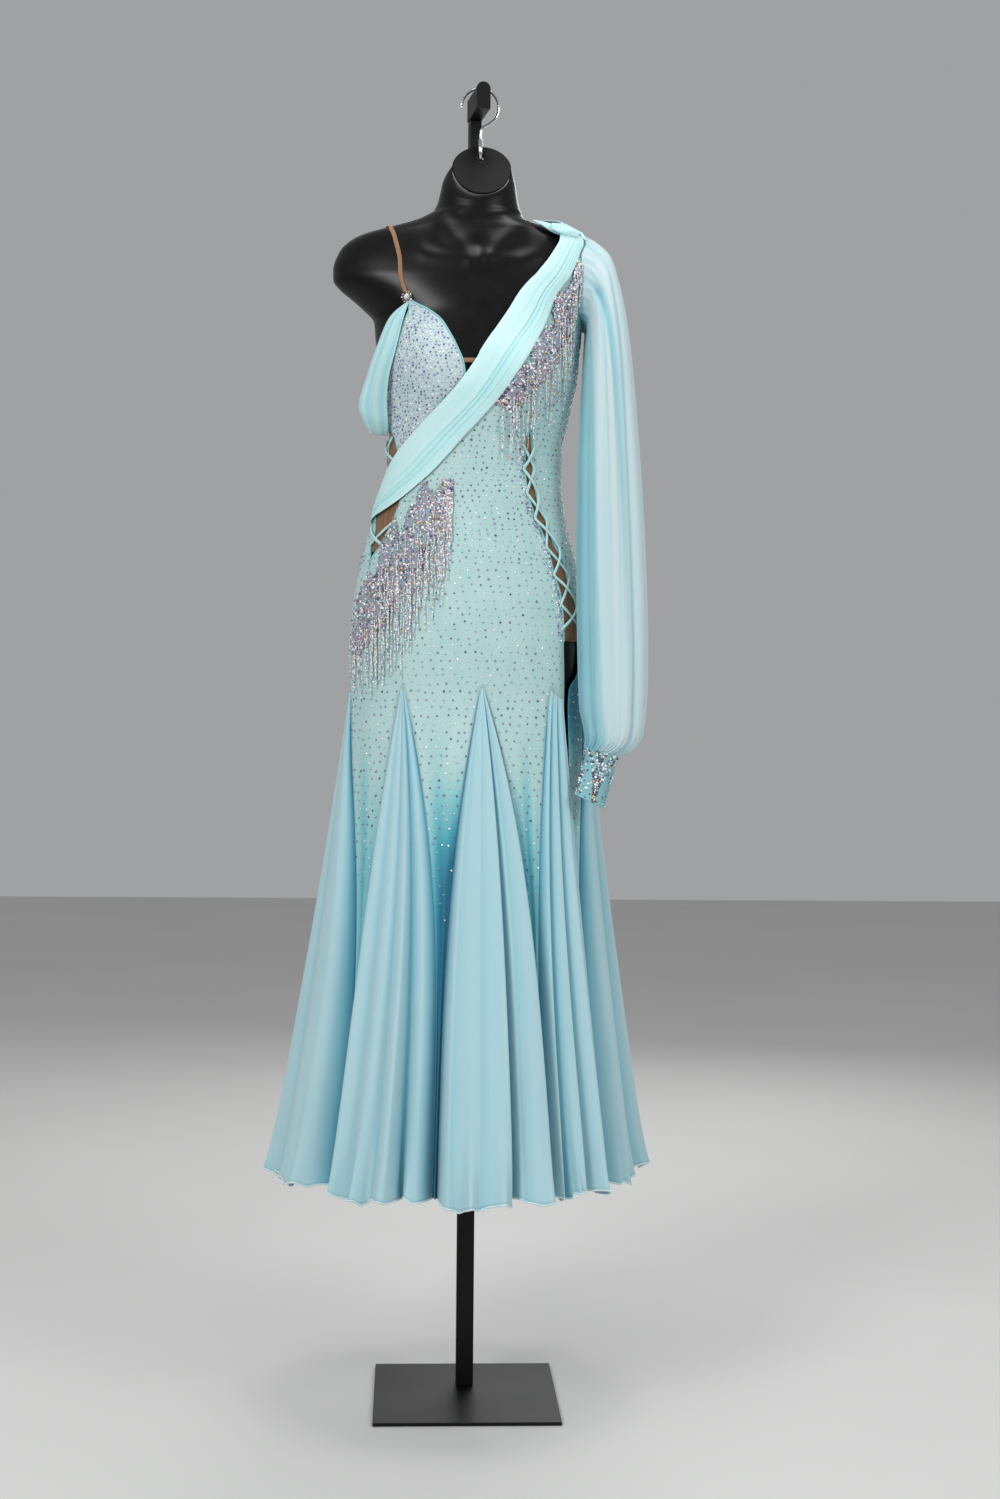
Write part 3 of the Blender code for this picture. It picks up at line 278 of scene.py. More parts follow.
def follow(values: Array, share: Array) -> Array:
    """A smooth curve through rows of values.

    Args:
        values: One row for each station, of one or more columns.
        share: How far along the rows to read, from 0 to 1.

    Returns:
        The values there.
    """
    last = len(values) - 1
    place = np.clip(share, 0.0, 1.0) * last
    at = np.minimum(place.astype(int), last - 1)
    t = place - at
    a, b, c, d = (values[np.clip(at + k, 0, last)] for k in (-1, 0, 1, 2))
    if values.ndim > 1:
        t = t[..., None]
    return 0.5 * (2 * b + (c - a) * t + (2 * a - 5 * b + 4 * c - d) * t ** 2
                  + (3 * b - a - 3 * c + d) * t ** 3)


def along(rows: Sequence[NamedTuple], name: str, share: Array) -> Array:
    """A table's column at a share of the way along its rows."""
    return follow(column_of(rows, name), np.asarray(share, dtype=float))


def on_form(angle: Array, height: Array) -> Array:
    """Points on the torso's surface.

    Args:
        angle: The angles round the body.
        height: The heights.

    Returns:
        The points, in millimetres.
    """
    centre, half, front, back, middle = (
        read(TORSO, name, height) for name in Section._fields[1:])
    across = np.sin(np.radians(angle))
    ahead = np.cos(np.radians(angle))
    x = centre + half * across
    y = middle - np.where(ahead > 0, front, back) * ahead
    aside = (np.abs(x - BUST.centre) - BUST.apart) / BUST.wide
    above = (height - BUST.height) / BUST.tall
    y = y - BUST.out * np.exp(-aside ** 2 - above ** 2) * np.clip(2 * ahead, 0.0, 1.0)
    return np.stack((x, y, height + 0 * x), axis=-1)


def unit(vectors: Array) -> Array:
    """Vectors scaled to a length of one."""
    length = np.linalg.norm(vectors, axis=-1, keepdims=True)
    return vectors / np.maximum(length, 1e-9)


def outward(angle: Array, height: Array) -> Array:
    """The torso's outward directions."""
    around = on_form(angle + 1, height) - on_form(angle - 1, height)
    upward = on_form(angle, height + 4) - on_form(angle, height - 4)
    return unit(np.cross(around, upward))


def skin(angle: Array, height: Array, lift: Any) -> Array:
    """Points moved out from the torso's surface.

    Args:
        angle: The angles round the body.
        height: The heights.
        lift: The distances from the surface.

    Returns:
        The points, in millimetres.
    """
    angle, height, lift = np.broadcast_arrays(
        *(np.asarray(value, dtype=float) for value in (angle, height, lift)))
    return on_form(angle, height) + outward(angle, height) * lift[..., None]


def angle_at(x: Array, height: Array, lift: float) -> Array:
    """The angle where the front of the body, moved out, passes a place along X."""
    share = (x - read(TORSO, "centre", height)) / (read(TORSO, "half", height) + lift)
    return np.degrees(np.arcsin(np.clip(share, -0.99, 0.99)))


def smoothed(values: Array, middle: float = 2.0) -> Array:
    """Rows drawn towards their neighbours, with both ends kept."""
    inner = (values[:-2] + middle * values[1:-1] + values[2:]) / (middle + 2)
    return np.concatenate((values[:1], inner, values[-1:]))


def mesh_of(bm: bmesh.types.BMesh, name: str) -> bpy.types.Mesh:
    """A mesh of a bmesh, which is freed."""
    mesh = bpy.data.meshes.new(name)
    bm.to_mesh(mesh)
    bm.free()
    return mesh


def triangle_mesh(name: str, points: Array, corners: Array) -> bpy.types.Mesh:
    """A mesh of triangles.

    Args:
        name: The mesh's name.
        points: The points, in metres.
        corners: The points' numbers, three for each triangle.

    Returns:
        The mesh.
    """
    mesh = bpy.data.meshes.new(name)
    mesh.vertices.add(len(points))
    mesh.vertices.foreach_set("co", points.astype(np.float32).ravel())
    mesh.loops.add(len(corners))
    mesh.loops.foreach_set("vertex_index", corners.astype(np.int32))
    mesh.polygons.add(len(corners) // 3)
    mesh.polygons.foreach_set("loop_start", np.arange(0, len(corners), 3, dtype=np.int32))
    mesh.update(calc_edges=True)
    mesh.validate()
    return mesh


def mark_points(mesh: bpy.types.Mesh, name: str, values: Array) -> None:
    """Gives each point of a mesh a value by name."""
    layer = mesh.attributes.new(name, "FLOAT", "POINT")
    layer.data.foreach_set("value", values.astype(np.float32))


def linked(name: str, data: Any) -> bpy.types.Object:
    """A new object in the scene."""
    item = bpy.data.objects.new(name, data)
    bpy.context.scene.collection.objects.link(item)
    return item


@dataclass
class Patch:
    """A grid of cloth whose points are placed by two shares.

    The first share goes across, towards a rising angle, and the second goes up, so that the faces
    point away from the body.
    """

    columns: int
    rows: int
    place: Place
    marks: dict[str, Mark] = field(default_factory=dict)

    def mesh(self) -> bpy.types.Mesh:
        """The grid in metres, with a UV map and its marks as point attributes."""
        bm = bmesh.new()
        bm.loops.layers.uv.new("UVMap")
        bmesh.ops.create_grid(bm, x_segments=self.columns, y_segments=self.rows, size=0.5,
                              calc_uvs=True)
        mesh = mesh_of(bm, "patch")
        flat = np.empty(3 * len(mesh.vertices), dtype=np.float32)
        mesh.vertices.foreach_get("co", flat)
        flat = flat.reshape(-1, 3)
        across = np.rint((flat[:, 0] + 0.5) * self.columns) / self.columns
        up = np.rint((flat[:, 1] + 0.5) * self.rows) / self.rows
        points = self.place(across, up) * MM
        mesh.vertices.foreach_set("co", points.astype(np.float32).ravel())
        for name, mark in self.marks.items():
            mark_points(mesh, name, np.broadcast_to(mark(across, up), across.shape))
        return mesh


def joined(name: str, patches: Sequence[Patch]) -> bpy.types.Object:
    """Patches as one object, welded where they meet.

    Args:
        name: The object's name.
        patches: The patches.

    Returns:
        The object.
    """
    bm = bmesh.new()
    for patch in patches:
        part = patch.mesh()
        bm.from_mesh(part)
        bpy.data.meshes.remove(part)
    bmesh.ops.remove_doubles(bm, verts=bm.verts, dist=WELD)
    mesh = mesh_of(bm, name)
    mesh.shade_smooth()
    return linked(name, mesh)


def walled(item: bpy.types.Object, wall: float) -> bpy.types.Object:
    """Gives an open sheet its wall, inwards.

    Args:
        item: The sheet.
        wall: The wall's thickness, in millimetres.

    Returns:
        The same sheet.
    """
    wall_modifier = item.modifiers.new("wall", "SOLIDIFY")
    wall_modifier.thickness = wall * MM
    wall_modifier.offset = -1
    return item


class Held(Enum):
    """How a sheet of cloth is held."""

    HUNG = "hung"
    STRETCHED = "stretched"
    GATHERED = "gathered"
    DRAPED = "draped"
    LAID = "laid"


class Sheet(NamedTuple):
    """A sheet's cut: its length in metres, how it is held and on what, and its wall.

    The share says how much of the cut's rectangle the sheet fills.
    """

    length: float
    held: Held
    rests_on: str
    wall: float
    share: float = 0.75


def shown(item: bpy.types.Object, material: bpy.types.Material,
          replaces: Sequence[str] = ()) -> bpy.types.Object:
    """Dresses a piece and ties it to the body.

    Args:
        item: The piece.
        material: Its material.
        replaces: The solids that it stands for.

    Returns:
        The same piece.
    """
    item.data.materials.clear()
    item.data.materials.append(material)
    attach(item, BODY)
    if replaces:
        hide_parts(*replaces)
    log.info("%s: %d points", item.name, len(item.data.vertices))
    return item


def clothed(item: bpy.types.Object, sheet: Sheet, material: bpy.types.Material,
            node: str) -> None:
    """Works out the width that a sheet of cloth was cut to, and gives the sheet its wall and its look.

    Args:
        item: The sheet, before it gets its wall.
        sheet: Its cut.
        material: Its material.
        node: The solid that it stands for.
    """
    area = sum(face.area for face in item.data.polygons)
    width = round(area / sheet.length / sheet.share, 3)
    shown(walled(item, sheet.wall), material, [node])


def tube(path: Array, up: Array, wide: Any, thick: Any, sides: int = 8,
         marks: dict[str, Mark] | None = None) -> Patch:
    """A closed tube of an oval section along a path.

    Args:
        path: The stations of its middle line, in millimetres.
        up: The direction of its thickness at each station.
        wide: Half its width, one for all or one for each station.
        thick: Half its thickness, in the same way.
        sides: The number of faces round it.
        marks: Point attributes by name.

    Returns:
        The patch, whose two long edges meet and whose ends draw in to a point.
    """
    ahead = unit(np.gradient(path, axis=0))
    side = unit(np.cross(ahead, up))
    top = unit(np.cross(side, ahead))
    rows = len(path) + 1
    wide_at = np.broadcast_to(np.asarray(wide, dtype=float), len(path))
    thick_at = np.broadcast_to(np.asarray(thick, dtype=float), len(path))

    def place(across: Array, share: Array) -> Array:
        """Points round the tube, with closed ends."""
        at = np.rint(share * rows).astype(int)
        end = (at == 0) | (at == rows)
        at = np.clip(at - 1, 0, len(path) - 1)
        turn = 2 * np.pi * across
        grow = np.where(end, 0.0, 1.0)[:, None]
        return (path[at] + side[at] * (np.cos(turn) * wide_at[at])[:, None] * grow
                - top[at] * (np.sin(turn) * thick_at[at])[:, None] * grow)

    return Patch(sides, rows, place, marks or {})


class Wire:
    """A node's output, whose operators add Math nodes."""

    def __init__(self, shop: "Shop", socket: bpy.types.NodeSocket) -> None:
        """Keeps the socket and the shop that it is in."""
        self.shop = shop
        self.socket = socket

    def _math(self, operation: str, *values: Any) -> "Wire":
        """A Math node on this and other values."""
        return self.shop.wire("ShaderNodeMath", {"operation": operation},
                              dict(enumerate(values)))

    def __add__(self, other: Any) -> "Wire":
        """The sum."""
        return self._math("ADD", self, other)

    __radd__ = __add__

    def __mul__(self, other: Any) -> "Wire":
        """The product."""
        return self._math("MULTIPLY", self, other)

    __rmul__ = __mul__

    def __sub__(self, other: Any) -> "Wire":
        """This less the other."""
        return self._math("SUBTRACT", self, other)

    def __rsub__(self, other: Any) -> "Wire":
        """The other less this."""
        return self._math("SUBTRACT", other, self)


class Shop:
    """One material and the nodes in it."""

    def __init__(self, name: str) -> None:
        """Starts a material with its Principled shader."""
        self.material = bpy.data.materials.new(name)
        self.material.use_nodes = True
        self.tree = self.material.node_tree
        self.shader = self.tree.nodes["Principled BSDF"]

    def node(self, kind: str, settings: dict[str, Any], inputs: dict[Any, Any]) -> bpy.types.Node:
        """Adds a node.

        Args:
            kind: The node's type.
            settings: Its settings, or a ramp's stops, which are set first.
            inputs: Values or wires by socket name or number.

        Returns:
            The node.
        """
        made = self.tree.nodes.new(kind)
        for key, value in settings.items():
            if key == "stops":
                self._stops(made.color_ramp, value)
            else:
                setattr(made, key, value)
        for key, value in inputs.items():
            self.feed(made.inputs[key], value)
        return made

    def _stops(self, ramp: bpy.types.ColorRamp, stops: Sequence[tuple[float, Any]]) -> None:
        """Sets a ramp's stops."""
        while len(ramp.elements) < len(stops):
            ramp.elements.new(0.5)
        for element, (place, colour) in zip(ramp.elements, stops):
            element.position = place
            element.color = colour

    def feed(self, socket: bpy.types.NodeSocket, value: Any) -> None:
        """Links a wire to a socket, or sets the socket's value."""
        if isinstance(value, Wire):
            self.tree.links.new(value.socket, socket)
        else:
            socket.default_value = value

    def wire(self, kind: str, settings: dict[str, Any], inputs: dict[Any, Any],
             output: Any = 0) -> Wire:
        """A new node's output."""
        return Wire(self, self.node(kind, settings, inputs).outputs[output])

    def set(self, **values: Any) -> None:
        """Sets the shader's sockets, with underscores for spaces."""
        for name, value in values.items():
            self.feed(self.shader.inputs[name.replace("_", " ")], value)

    def places(self, scale: tuple[float, float, float] = (1, 1, 1), kind: str = "Object") -> Wire:
        """Coordinates of a kind, stretched by a scale."""
        source = self.wire("ShaderNodeTexCoord", {}, {}, kind)
        return self.wire("ShaderNodeMapping", {}, {"Vector": source, "Scale": scale})

    def chart(self, scale: tuple[float, float, float]) -> Wire:
        """UV coordinates, stretched by a scale."""
        return self.places(scale, "UV")

    def mark(self, name: str) -> Wire:
        """A point attribute."""
        return self.wire("ShaderNodeAttribute", {"attribute_name": name}, {}, "Fac")

    def noise(self, where: Wire, scale: float, detail: float = 2.0) -> Wire:
        """Soft noise from 0 to 1."""
        return self.wire("ShaderNodeTexNoise", {}, {"Vector": where, "Scale": scale,
                                                    "Detail": detail})

    def cells(self, where: Wire, scale: float) -> Wire:
        """The distance to the nearest of scattered points."""
        return self.wire("ShaderNodeTexVoronoi", {}, {"Vector": where, "Scale": scale})

    def ramp(self, share: Wire, stops: Sequence[tuple[float, Any]]) -> Wire:
        """Colours along a share."""
        return self.wire("ShaderNodeValToRGB", {"stops": stops}, {0: share})

    def blend(self, share: Any, first: Any, second: Any) -> Wire:
        """A mix of two colours."""
        return self.wire("ShaderNodeMix", {"data_type": "RGBA"}, {0: share, 6: first, 7: second},
                         2)

    def relief(self, height: Wire, distance: float, strength: float = 1.0) -> Wire:
        """A normal from a height."""
        return self.wire("ShaderNodeBump", {}, {"Height": height, "Distance": distance,
                                                "Strength": strength})


class Sheer(Enum):
    """The uses of the chiffon, which is cut in one to three layers."""

    SKIRT = "skirt"
    SASH = "sash"
    SLEEVE = "sleeve"
    ARMLET = "armlet"


@dataclass(frozen=True)
class Tones:
    """The pale, middle and deep colour of a cloth, and its opacity; the middle and deep colours paint
    the shade in its folds.
    """

    pale: tuple[float, float, float, float]
    middle: tuple[float, float, float, float]
    deep: tuple[float, float, float, float]
    alpha: float = 1.0


# The middle and deep tones are painted shade for the folds and seams, deeper than the layered chiffon's
# own colour.
CHIFFON_TONES = {
    Sheer.SKIRT: Tones(tone(174, 206, 213), tone(122, 184, 198), tone(26, 112, 146)),
    Sheer.SASH: Tones(tone(200, 234, 235), tone(164, 219, 223), tone(96, 178, 190)),
    Sheer.SLEEVE: Tones(tone(202, 221, 225), tone(158, 205, 214), tone(78, 160, 178), 0.93),
    Sheer.ARMLET: Tones(tone(190, 222, 225), tone(146, 204, 210), tone(84, 168, 180)),
}
SILK_PALE = tone(206, 230, 233)


@dataclass(frozen=True)
class Chiffon:
    """Soft matte chiffon, with painted shade: paler on its ridges and teal in its folds."""

    use: Sheer
    grain: float = 13.0

    def material(self) -> bpy.types.Material:
        """The material, whose colour follows the marks named depth and edge; depth carries the painted
        shade of the folds and seams.
        """
        tones = CHIFFON_TONES[self.use]
        shop = Shop(f"{self.use.value}_chiffon")
        # The streaks along the grain paint faint shade in fine creases, and the soft noise varies the
        # tone at random; the depth mark paints the shade of folds and seams, partly the real deepening
        # of layered chiffon.
        long = shop.noise(shop.chart((self.grain, 1.6, 1)), 1.0, 4.0)
        soft = shop.noise(shop.places(), 9.0, 3.0)
        depth = shop.mark("depth") + (long - 0.5) * 0.18 + (soft - 0.5) * 0.16
        colour = shop.ramp(depth, ((0.0, tones.pale), (0.5, tones.middle), (1.0, tones.deep)))
        shop.set(Base_Color=shop.blend(shop.mark("edge") * 0.75, colour, SILK_PALE))
        weave = shop.noise(shop.places(), 2600.0, 1.0) * 0.4 + long * 0.6
        shop.set(Normal=shop.relief(weave, 0.0012, 0.5), Roughness=0.82,
                 Alpha=tones.alpha)
        shop.set(Sheen_Weight=0.35, Sheen_Roughness=0.5, Specular_IOR_Level=0.25)
        return shop.material


@dataclass(frozen=True)
class Stretch:
    """Stretch mesh over a lining: pale green-aqua, with a fine net and a faint shine."""

    name: str = "stretch_mesh"
    pale: tuple[float, float, float, float] = tone(180, 207, 205)
    middle: tuple[float, float, float, float] = tone(124, 188, 194)
    shade: tuple[float, float, float, float] = tone(52, 150, 168)
    deep: tuple[float, float, float, float] = tone(14, 104, 132)
    slot: str = "stretch"

    def material(self) -> bpy.types.Material:
        """The material, whose colour follows the marks named depth and edge; depth carries painted
        shade.
        """
        shop = Shop(self.name)
        net = shop.cells(shop.places(), 900.0)
        mottle = shop.noise(shop.places((1, 1, 0.4)), 34.0, 3.0)
        # The depth mark paints shade on the panels: deeper in the tails between the godets and at the
        # foot of the side by the sleeve. The mottle and the net vary the tone.
        depth = shop.mark("depth") + (mottle - 0.5) * 0.16 + net * 0.10
        colour = shop.ramp(depth, ((0.0, self.pale), (0.32, self.middle), (0.66, self.shade),
                                   (1.0, self.deep)))
        shop.set(Base_Color=shop.blend(shop.mark("edge") * 0.8, colour, tone(122, 196, 196)))
        shop.set(Roughness=(mottle * 0.2 + 0.5), Normal=shop.relief(net + mottle, 0.0008, 0.5))
        shop.set(Sheen_Weight=0.25, Sheen_Roughness=0.4)
        return shop.material


@dataclass(frozen=True)
class TanMesh:
    """Fine tan mesh over the black form, with painted upright streaks of sheen and shade."""

    slot: str = "tan_mesh"

    def material(self) -> bpy.types.Material:
        """The material."""
        shop = Shop("tan_net")
        # Painted sheen: upright lighter and darker streaks along the mesh.
        sheen_streak = shop.noise(shop.chart((30.0, 1.2, 1)), 1.0, 4.0)
        net = shop.cells(shop.places(), 1100.0)
        shop.set(Base_Color=shop.ramp(sheen_streak + net * 0.2, (
            (0.25, tone(74, 48, 27)), (0.6, tone(122, 84, 49)), (0.85, tone(152, 110, 70)))))
        shop.set(Roughness=0.6, Normal=shop.relief(net, 0.0006, 0.6))
        shop.set(Sheen_Weight=0.2)
        return shop.material


@dataclass(frozen=True)
class Elastic:
    """Golden tan elastic with ribs along it."""

    slot: str = "elastic"

    def material(self) -> bpy.types.Material:
        """The material."""
        shop = Shop("tan_elastic")
        ribs = shop.wire("ShaderNodeTexWave", {"bands_direction": "X"}, {
            "Vector": shop.chart((8.0, 1.0, 1)), "Scale": 1.0, "Distortion": 0.3})
        worn = shop.noise(shop.places(), 160.0, 3.0)
        shop.set(Base_Color=shop.ramp(ribs * 0.6 + worn * 0.5, (
            (0.2, tone(122, 80, 42)), (0.9, tone(178, 130, 84)))))
        shop.set(Roughness=0.5, Normal=shop.relief(ribs, 0.0005, 0.7))
        shop.set(Sheen_Weight=0.3)
        return shop.material


class Cut(Enum):
    """The mixes of crystal colours: each is a list of stops along the tint."""

    BODY = "body"
    CUP = "cup"
    SILVER = "silver"
    CUFF = "cuff"
    JEWEL = "jewel"
    STRAND = "strand"


LILAC, PINK, GOLD = tone(150, 140, 186), tone(196, 158, 178), tone(190, 164, 120)
SMOKE, STEEL_GREY = tone(74, 78, 104), tone(120, 130, 146)
ICE, WHITE = tone(196, 214, 222), tone(250, 250, 252)
PLUM, AQUA_GLASS, ROSE = tone(92, 54, 84), tone(120, 190, 196), tone(214, 190, 196)
# Each stone takes one colour of its mix. The white and ice stops paint stones caught in a glint and the
# smoke and steel grey stops paint stones that mirror dark surroundings, so these are partly painted
# reflections; the lilac, pink, plum, rose, gold and aqua stops are the crystals' own coatings.
CRYSTAL_STOPS = {
    Cut.BODY: (STEEL_GREY, LILAC, SMOKE, LILAC, STEEL_GREY, AQUA_GLASS, ICE, WHITE),
    Cut.CUP: (LILAC, STEEL_GREY, ICE, tone(104, 98, 156), WHITE, LILAC, ICE, WHITE),
    Cut.SILVER: (SMOKE, ICE, PINK, WHITE, STEEL_GREY, PLUM, WHITE, LILAC, PINK, WHITE, GOLD,
                 ROSE, ICE),
    Cut.STRAND: (ICE, WHITE, PINK, STEEL_GREY, WHITE, ICE, GOLD, WHITE),
    Cut.CUFF: (SMOKE, ICE, PLUM, WHITE, GOLD, STEEL_GREY, WHITE),
    # The jewel's white and gold stops paint glints across its facets.
    Cut.JEWEL: (WHITE, GOLD, ROSE, AQUA_GLASS, WHITE, GOLD, LILAC),
}


@dataclass(frozen=True)
class Crystal:
    """Cut glass stones on foil, each with a tint of its own, which is partly painted reflection."""

    mix: Cut
    metal: float = 0.3

    def material(self) -> bpy.types.Material:
        """The material, whose colour follows the mark named tint."""
        shop = Shop(f"{self.mix.value}_crystal")
        colours = CRYSTAL_STOPS[self.mix]
        stops = [(place / len(colours), colour) for place, colour in enumerate(colours)]
        ramp = shop.node("ShaderNodeValToRGB", {"stops": stops}, {0: shop.mark("tint")})
        ramp.color_ramp.interpolation = "CONSTANT"
        shop.set(Base_Color=Wire(shop, ramp.outputs[0]), Metallic=self.metal, Roughness=0.14)
        shop.set(Coat_Weight=0.6, Coat_Roughness=0.03)
        return shop.material


@dataclass(frozen=True)
class GlossForm:
    """Smooth black moulded plastic with a soft gloss."""

    name: str = "black_moulding"
    rough: float = 0.27
    shine: float = 0.24
    slot: str = "form"

    def material(self) -> bpy.types.Material:
        """The material."""
        shop = Shop(self.name)
        dust = shop.noise(shop.places(), 60.0, 5.0)
        swell = shop.noise(shop.places(), 11.0, 2.0)
        shop.set(Base_Color=shop.ramp(dust, ((0.3, tone(5, 5, 6)), (0.8, tone(10, 10, 11)))))
        shop.set(Roughness=dust * 0.10 + self.rough, Normal=shop.relief(swell, 0.0006, 0.25))
        shop.set(Specular_IOR_Level=self.shine)
        return shop.material


@dataclass(frozen=True)
class SatinSteel:
    """Satin black paint on steel."""

    def material(self) -> bpy.types.Material:
        """The material."""
        shop = Shop("satin_black_paint")
        grain = shop.noise(shop.places(), 420.0, 3.0)
        smear = shop.noise(shop.places((1, 1, 0.3)), 7.0, 4.0)
        shop.set(Base_Color=shop.ramp(smear, ((0.3, tone(5, 5, 5)), (0.8, tone(12, 12, 13)))))
        shop.set(Roughness=smear * 0.16 + 0.36, Normal=shop.relief(grain, 0.0002, 0.35))
        shop.set(Specular_IOR_Level=0.22)
        return shop.material


@dataclass(frozen=True)
class Chrome:
    """Polished chrome with a faint haze."""

    slot: str = "chrome"

    def material(self) -> bpy.types.Material:
        """The material."""
        shop = Shop("polished_chrome")
        haze = shop.noise(shop.places(), 240.0, 3.0)
        shop.set(Base_Color=shop.ramp(haze, ((0.2, tone(196, 197, 200)), (0.9, tone(240, 240, 242)))))
        shop.set(Metallic=1.0, Roughness=haze * 0.08 + 0.06)
        return shop.material


@dataclass(frozen=True)
class PaleFloor:
    """A plain pale studio floor."""

    def material(self) -> bpy.types.Material:
        """The material."""
        shop = Shop("pale_floor")
        soft = shop.noise(shop.places(), 1.5, 2.0)
        shop.set(Base_Color=shop.ramp(soft, ((0.2, tone(206, 206, 204)), (0.8, tone(212, 212, 210)))))
        shop.set(Roughness=0.75)
        return shop.material


@dataclass
class Scatter:
    """Many copies of one small cut shape, as one joined mesh."""

    name: str
    seed: int
    flat: bool = True

    def template(self) -> tuple[Array, Array]:
        """The points and triangles of one shape, whose radius is one and which faces +Z."""
        bm = bmesh.new()
        if self.flat:
            bmesh.ops.create_cone(bm, cap_ends=True, segments=7, radius1=1.0, radius2=0.56,
                                  depth=0.62)
            bmesh.ops.translate(bm, vec=(0, 0, 0.31), verts=bm.verts)
        else:
            bmesh.ops.create_icosphere(bm, subdivisions=1, radius=1.0)
        bmesh.ops.triangulate(bm, faces=bm.faces)
        points = np.array([vert.co for vert in bm.verts])
        faces = np.array([[vert.index for vert in face.verts] for face in bm.faces])
        bm.free()
        return points, faces

    def build(self, centres: Array, normals: Array, radii: Array,
              stretch: Array | None = None) -> bpy.types.Object:
        """Sets a copy at each place.

        Args:
            centres: Where each copy sits, in millimetres.
            normals: The direction that each faces.
            radii: The radius of each.
            stretch: How much longer each is along its own first direction.

        Returns:
            The object, with a random tint for each copy.
        """
        dice = np.random.default_rng(self.seed)
        points, faces = self.template()
        count = len(centres)
        up = unit(normals)
        aid = np.where(np.abs(up[:, 2:3]) > 0.9, [[1.0, 0.0, 0.0]], [[0.0, 0.0, 1.0]])
        side = unit(np.cross(aid, up))
        top = np.cross(up, side)
        turn = dice.uniform(0, 2 * np.pi, count) if stretch is None else np.zeros(count)
        first = side * np.cos(turn)[:, None] + top * np.sin(turn)[:, None]
        second = np.cross(up, first)
        long = np.ones(count) if stretch is None else stretch
        placed = (centres[:, None, :] + radii[:, None, None] * (
            points[None, :, 0:1] * first[:, None, :]
            + points[None, :, 1:2] * second[:, None, :] * long[:, None, None]
            + points[None, :, 2:3] * up[:, None, :])).reshape(-1, 3) * MM
        corners = (faces[None] + (np.arange(count) * len(points))[:, None, None]).reshape(-1)
        mesh = triangle_mesh(self.name, placed, corners)
        mark_points(mesh, "tint", np.repeat(dice.uniform(0, 1, count), len(points)))
        return linked(self.name, mesh)


@dataclass
class Camera:
    """The photograph's view."""

    distance: float = 2.98
    azimuth: float = 1.65
    height: float = 0.948
    turn: float = 0.816
    tilt: float = 0.412
    roll: float = 0.5
    focal_pixels: float = 2082.0
    picture: tuple[int, int] = (1000, 1499)
    sensor: float = 36.0

    def build(self) -> None:
        """Makes the camera and sets it as the scene's."""
        wide, tall = self.picture
        around = math.radians(self.azimuth)
        heading = math.radians(self.azimuth + self.turn)
        tilt, roll = math.radians(self.tilt), math.radians(self.roll)
        ahead = Vector((math.sin(heading) * math.cos(tilt), math.cos(heading) * math.cos(tilt),
                        -math.sin(tilt)))
        right = Vector((math.cos(heading), -math.sin(heading), 0))
        up = right.cross(ahead)
        rolled_right = right * math.cos(roll) + up * math.sin(roll)
        rolled_up = up * math.cos(roll) - right * math.sin(roll)
        lens = bpy.data.cameras.new("camera")
        lens.sensor_fit = "VERTICAL"
        lens.sensor_height = self.sensor
        lens.sensor_width = self.sensor * wide / tall
        lens.lens = self.focal_pixels * self.sensor / tall
        item = linked("camera", lens)
        turned = Matrix((rolled_right, rolled_up, -ahead)).transposed().to_4x4()
        place = Vector((-self.distance * math.sin(around), -self.distance * math.cos(around),
                        self.height))
        item.matrix_world = Matrix.Translation(place) @ turned
        bpy.context.scene.camera = item


class Lamp(NamedTuple):
    """A soft light: where it stands, what it looks at, its size and its power."""

    name: str
    place: tuple[float, float, float]
    target: tuple[float, float, float]
    size: float
    power: float


@dataclass
class Studio:
    """A pale floor and soft light."""

    half_floor: float = 9.0
    world: tuple[float, float, float, float] = (0.80, 0.81, 0.82, 1.0)
    world_strength: float = 0.44
    lamps: tuple[Lamp, ...] = (
        Lamp("key_light", (-1.9, -2.7, 2.5), (0, 0, 1.2), 1.3, 66),
        Lamp("fill_light", (2.3, -2.4, 2.2), (0, 0, 1.2), 1.3, 38),
        Lamp("top_light", (0.2, -0.3, 3.6), (0, 0, 1.0), 1.2, 26),
        Lamp("back_light", (0.6, 2.6, 2.2), (0, 0, 1.1), 1.6, 30),
    )

    def build(self) -> None:
        """Makes the floor, the lights and the sky."""
        bm = bmesh.new()
        bmesh.ops.create_grid(bm, x_segments=2, y_segments=2, size=self.half_floor)
        floor = linked("floor", mesh_of(bm, "floor"))
        floor.data.materials.append(PaleFloor().material())
        floor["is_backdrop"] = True
        for lamp in self.lamps:
            self._light(lamp)
        scene = bpy.context.scene
        scene.world = bpy.data.worlds.new("studio")
        scene.world.use_nodes = True
        sky = scene.world.node_tree.nodes["Background"]
        sky.inputs[0].default_value = self.world
        sky.inputs[1].default_value = self.world_strength
        scene.view_settings.view_transform = "Standard"

    def _light(self, lamp: Lamp) -> None:
        """One square soft light."""
        data = bpy.data.lights.new(lamp.name, "AREA")
        data.size = lamp.size
        data.energy = lamp.power
        item = linked(lamp.name, data)
        place = Vector(lamp.place)
        item.location = place
        facing = place - Vector(lamp.target)
        item.rotation_euler = facing.to_track_quat("Z", "Y").to_euler()


GODET_TOP = 1012.0
HOLE_TOP = 1375.0
HOLE_FOOT = 1078.0
ARMHOLE_FOOT = 1500.0
BINDING_TOP = 1646.0
SHOULDER = 1650.0
PANEL_LIFT = 5.0
PANEL_WALL = 0.8
CHIFFON_WALL = 0.6
PANEL_SHEET = Sheet(1.36, Held.HUNG, "torso_form", PANEL_WALL)


class Fold(NamedTuple):
    """A fold of a godet at the hem: its share of the width and its push outwards."""

    share: float
    push: float


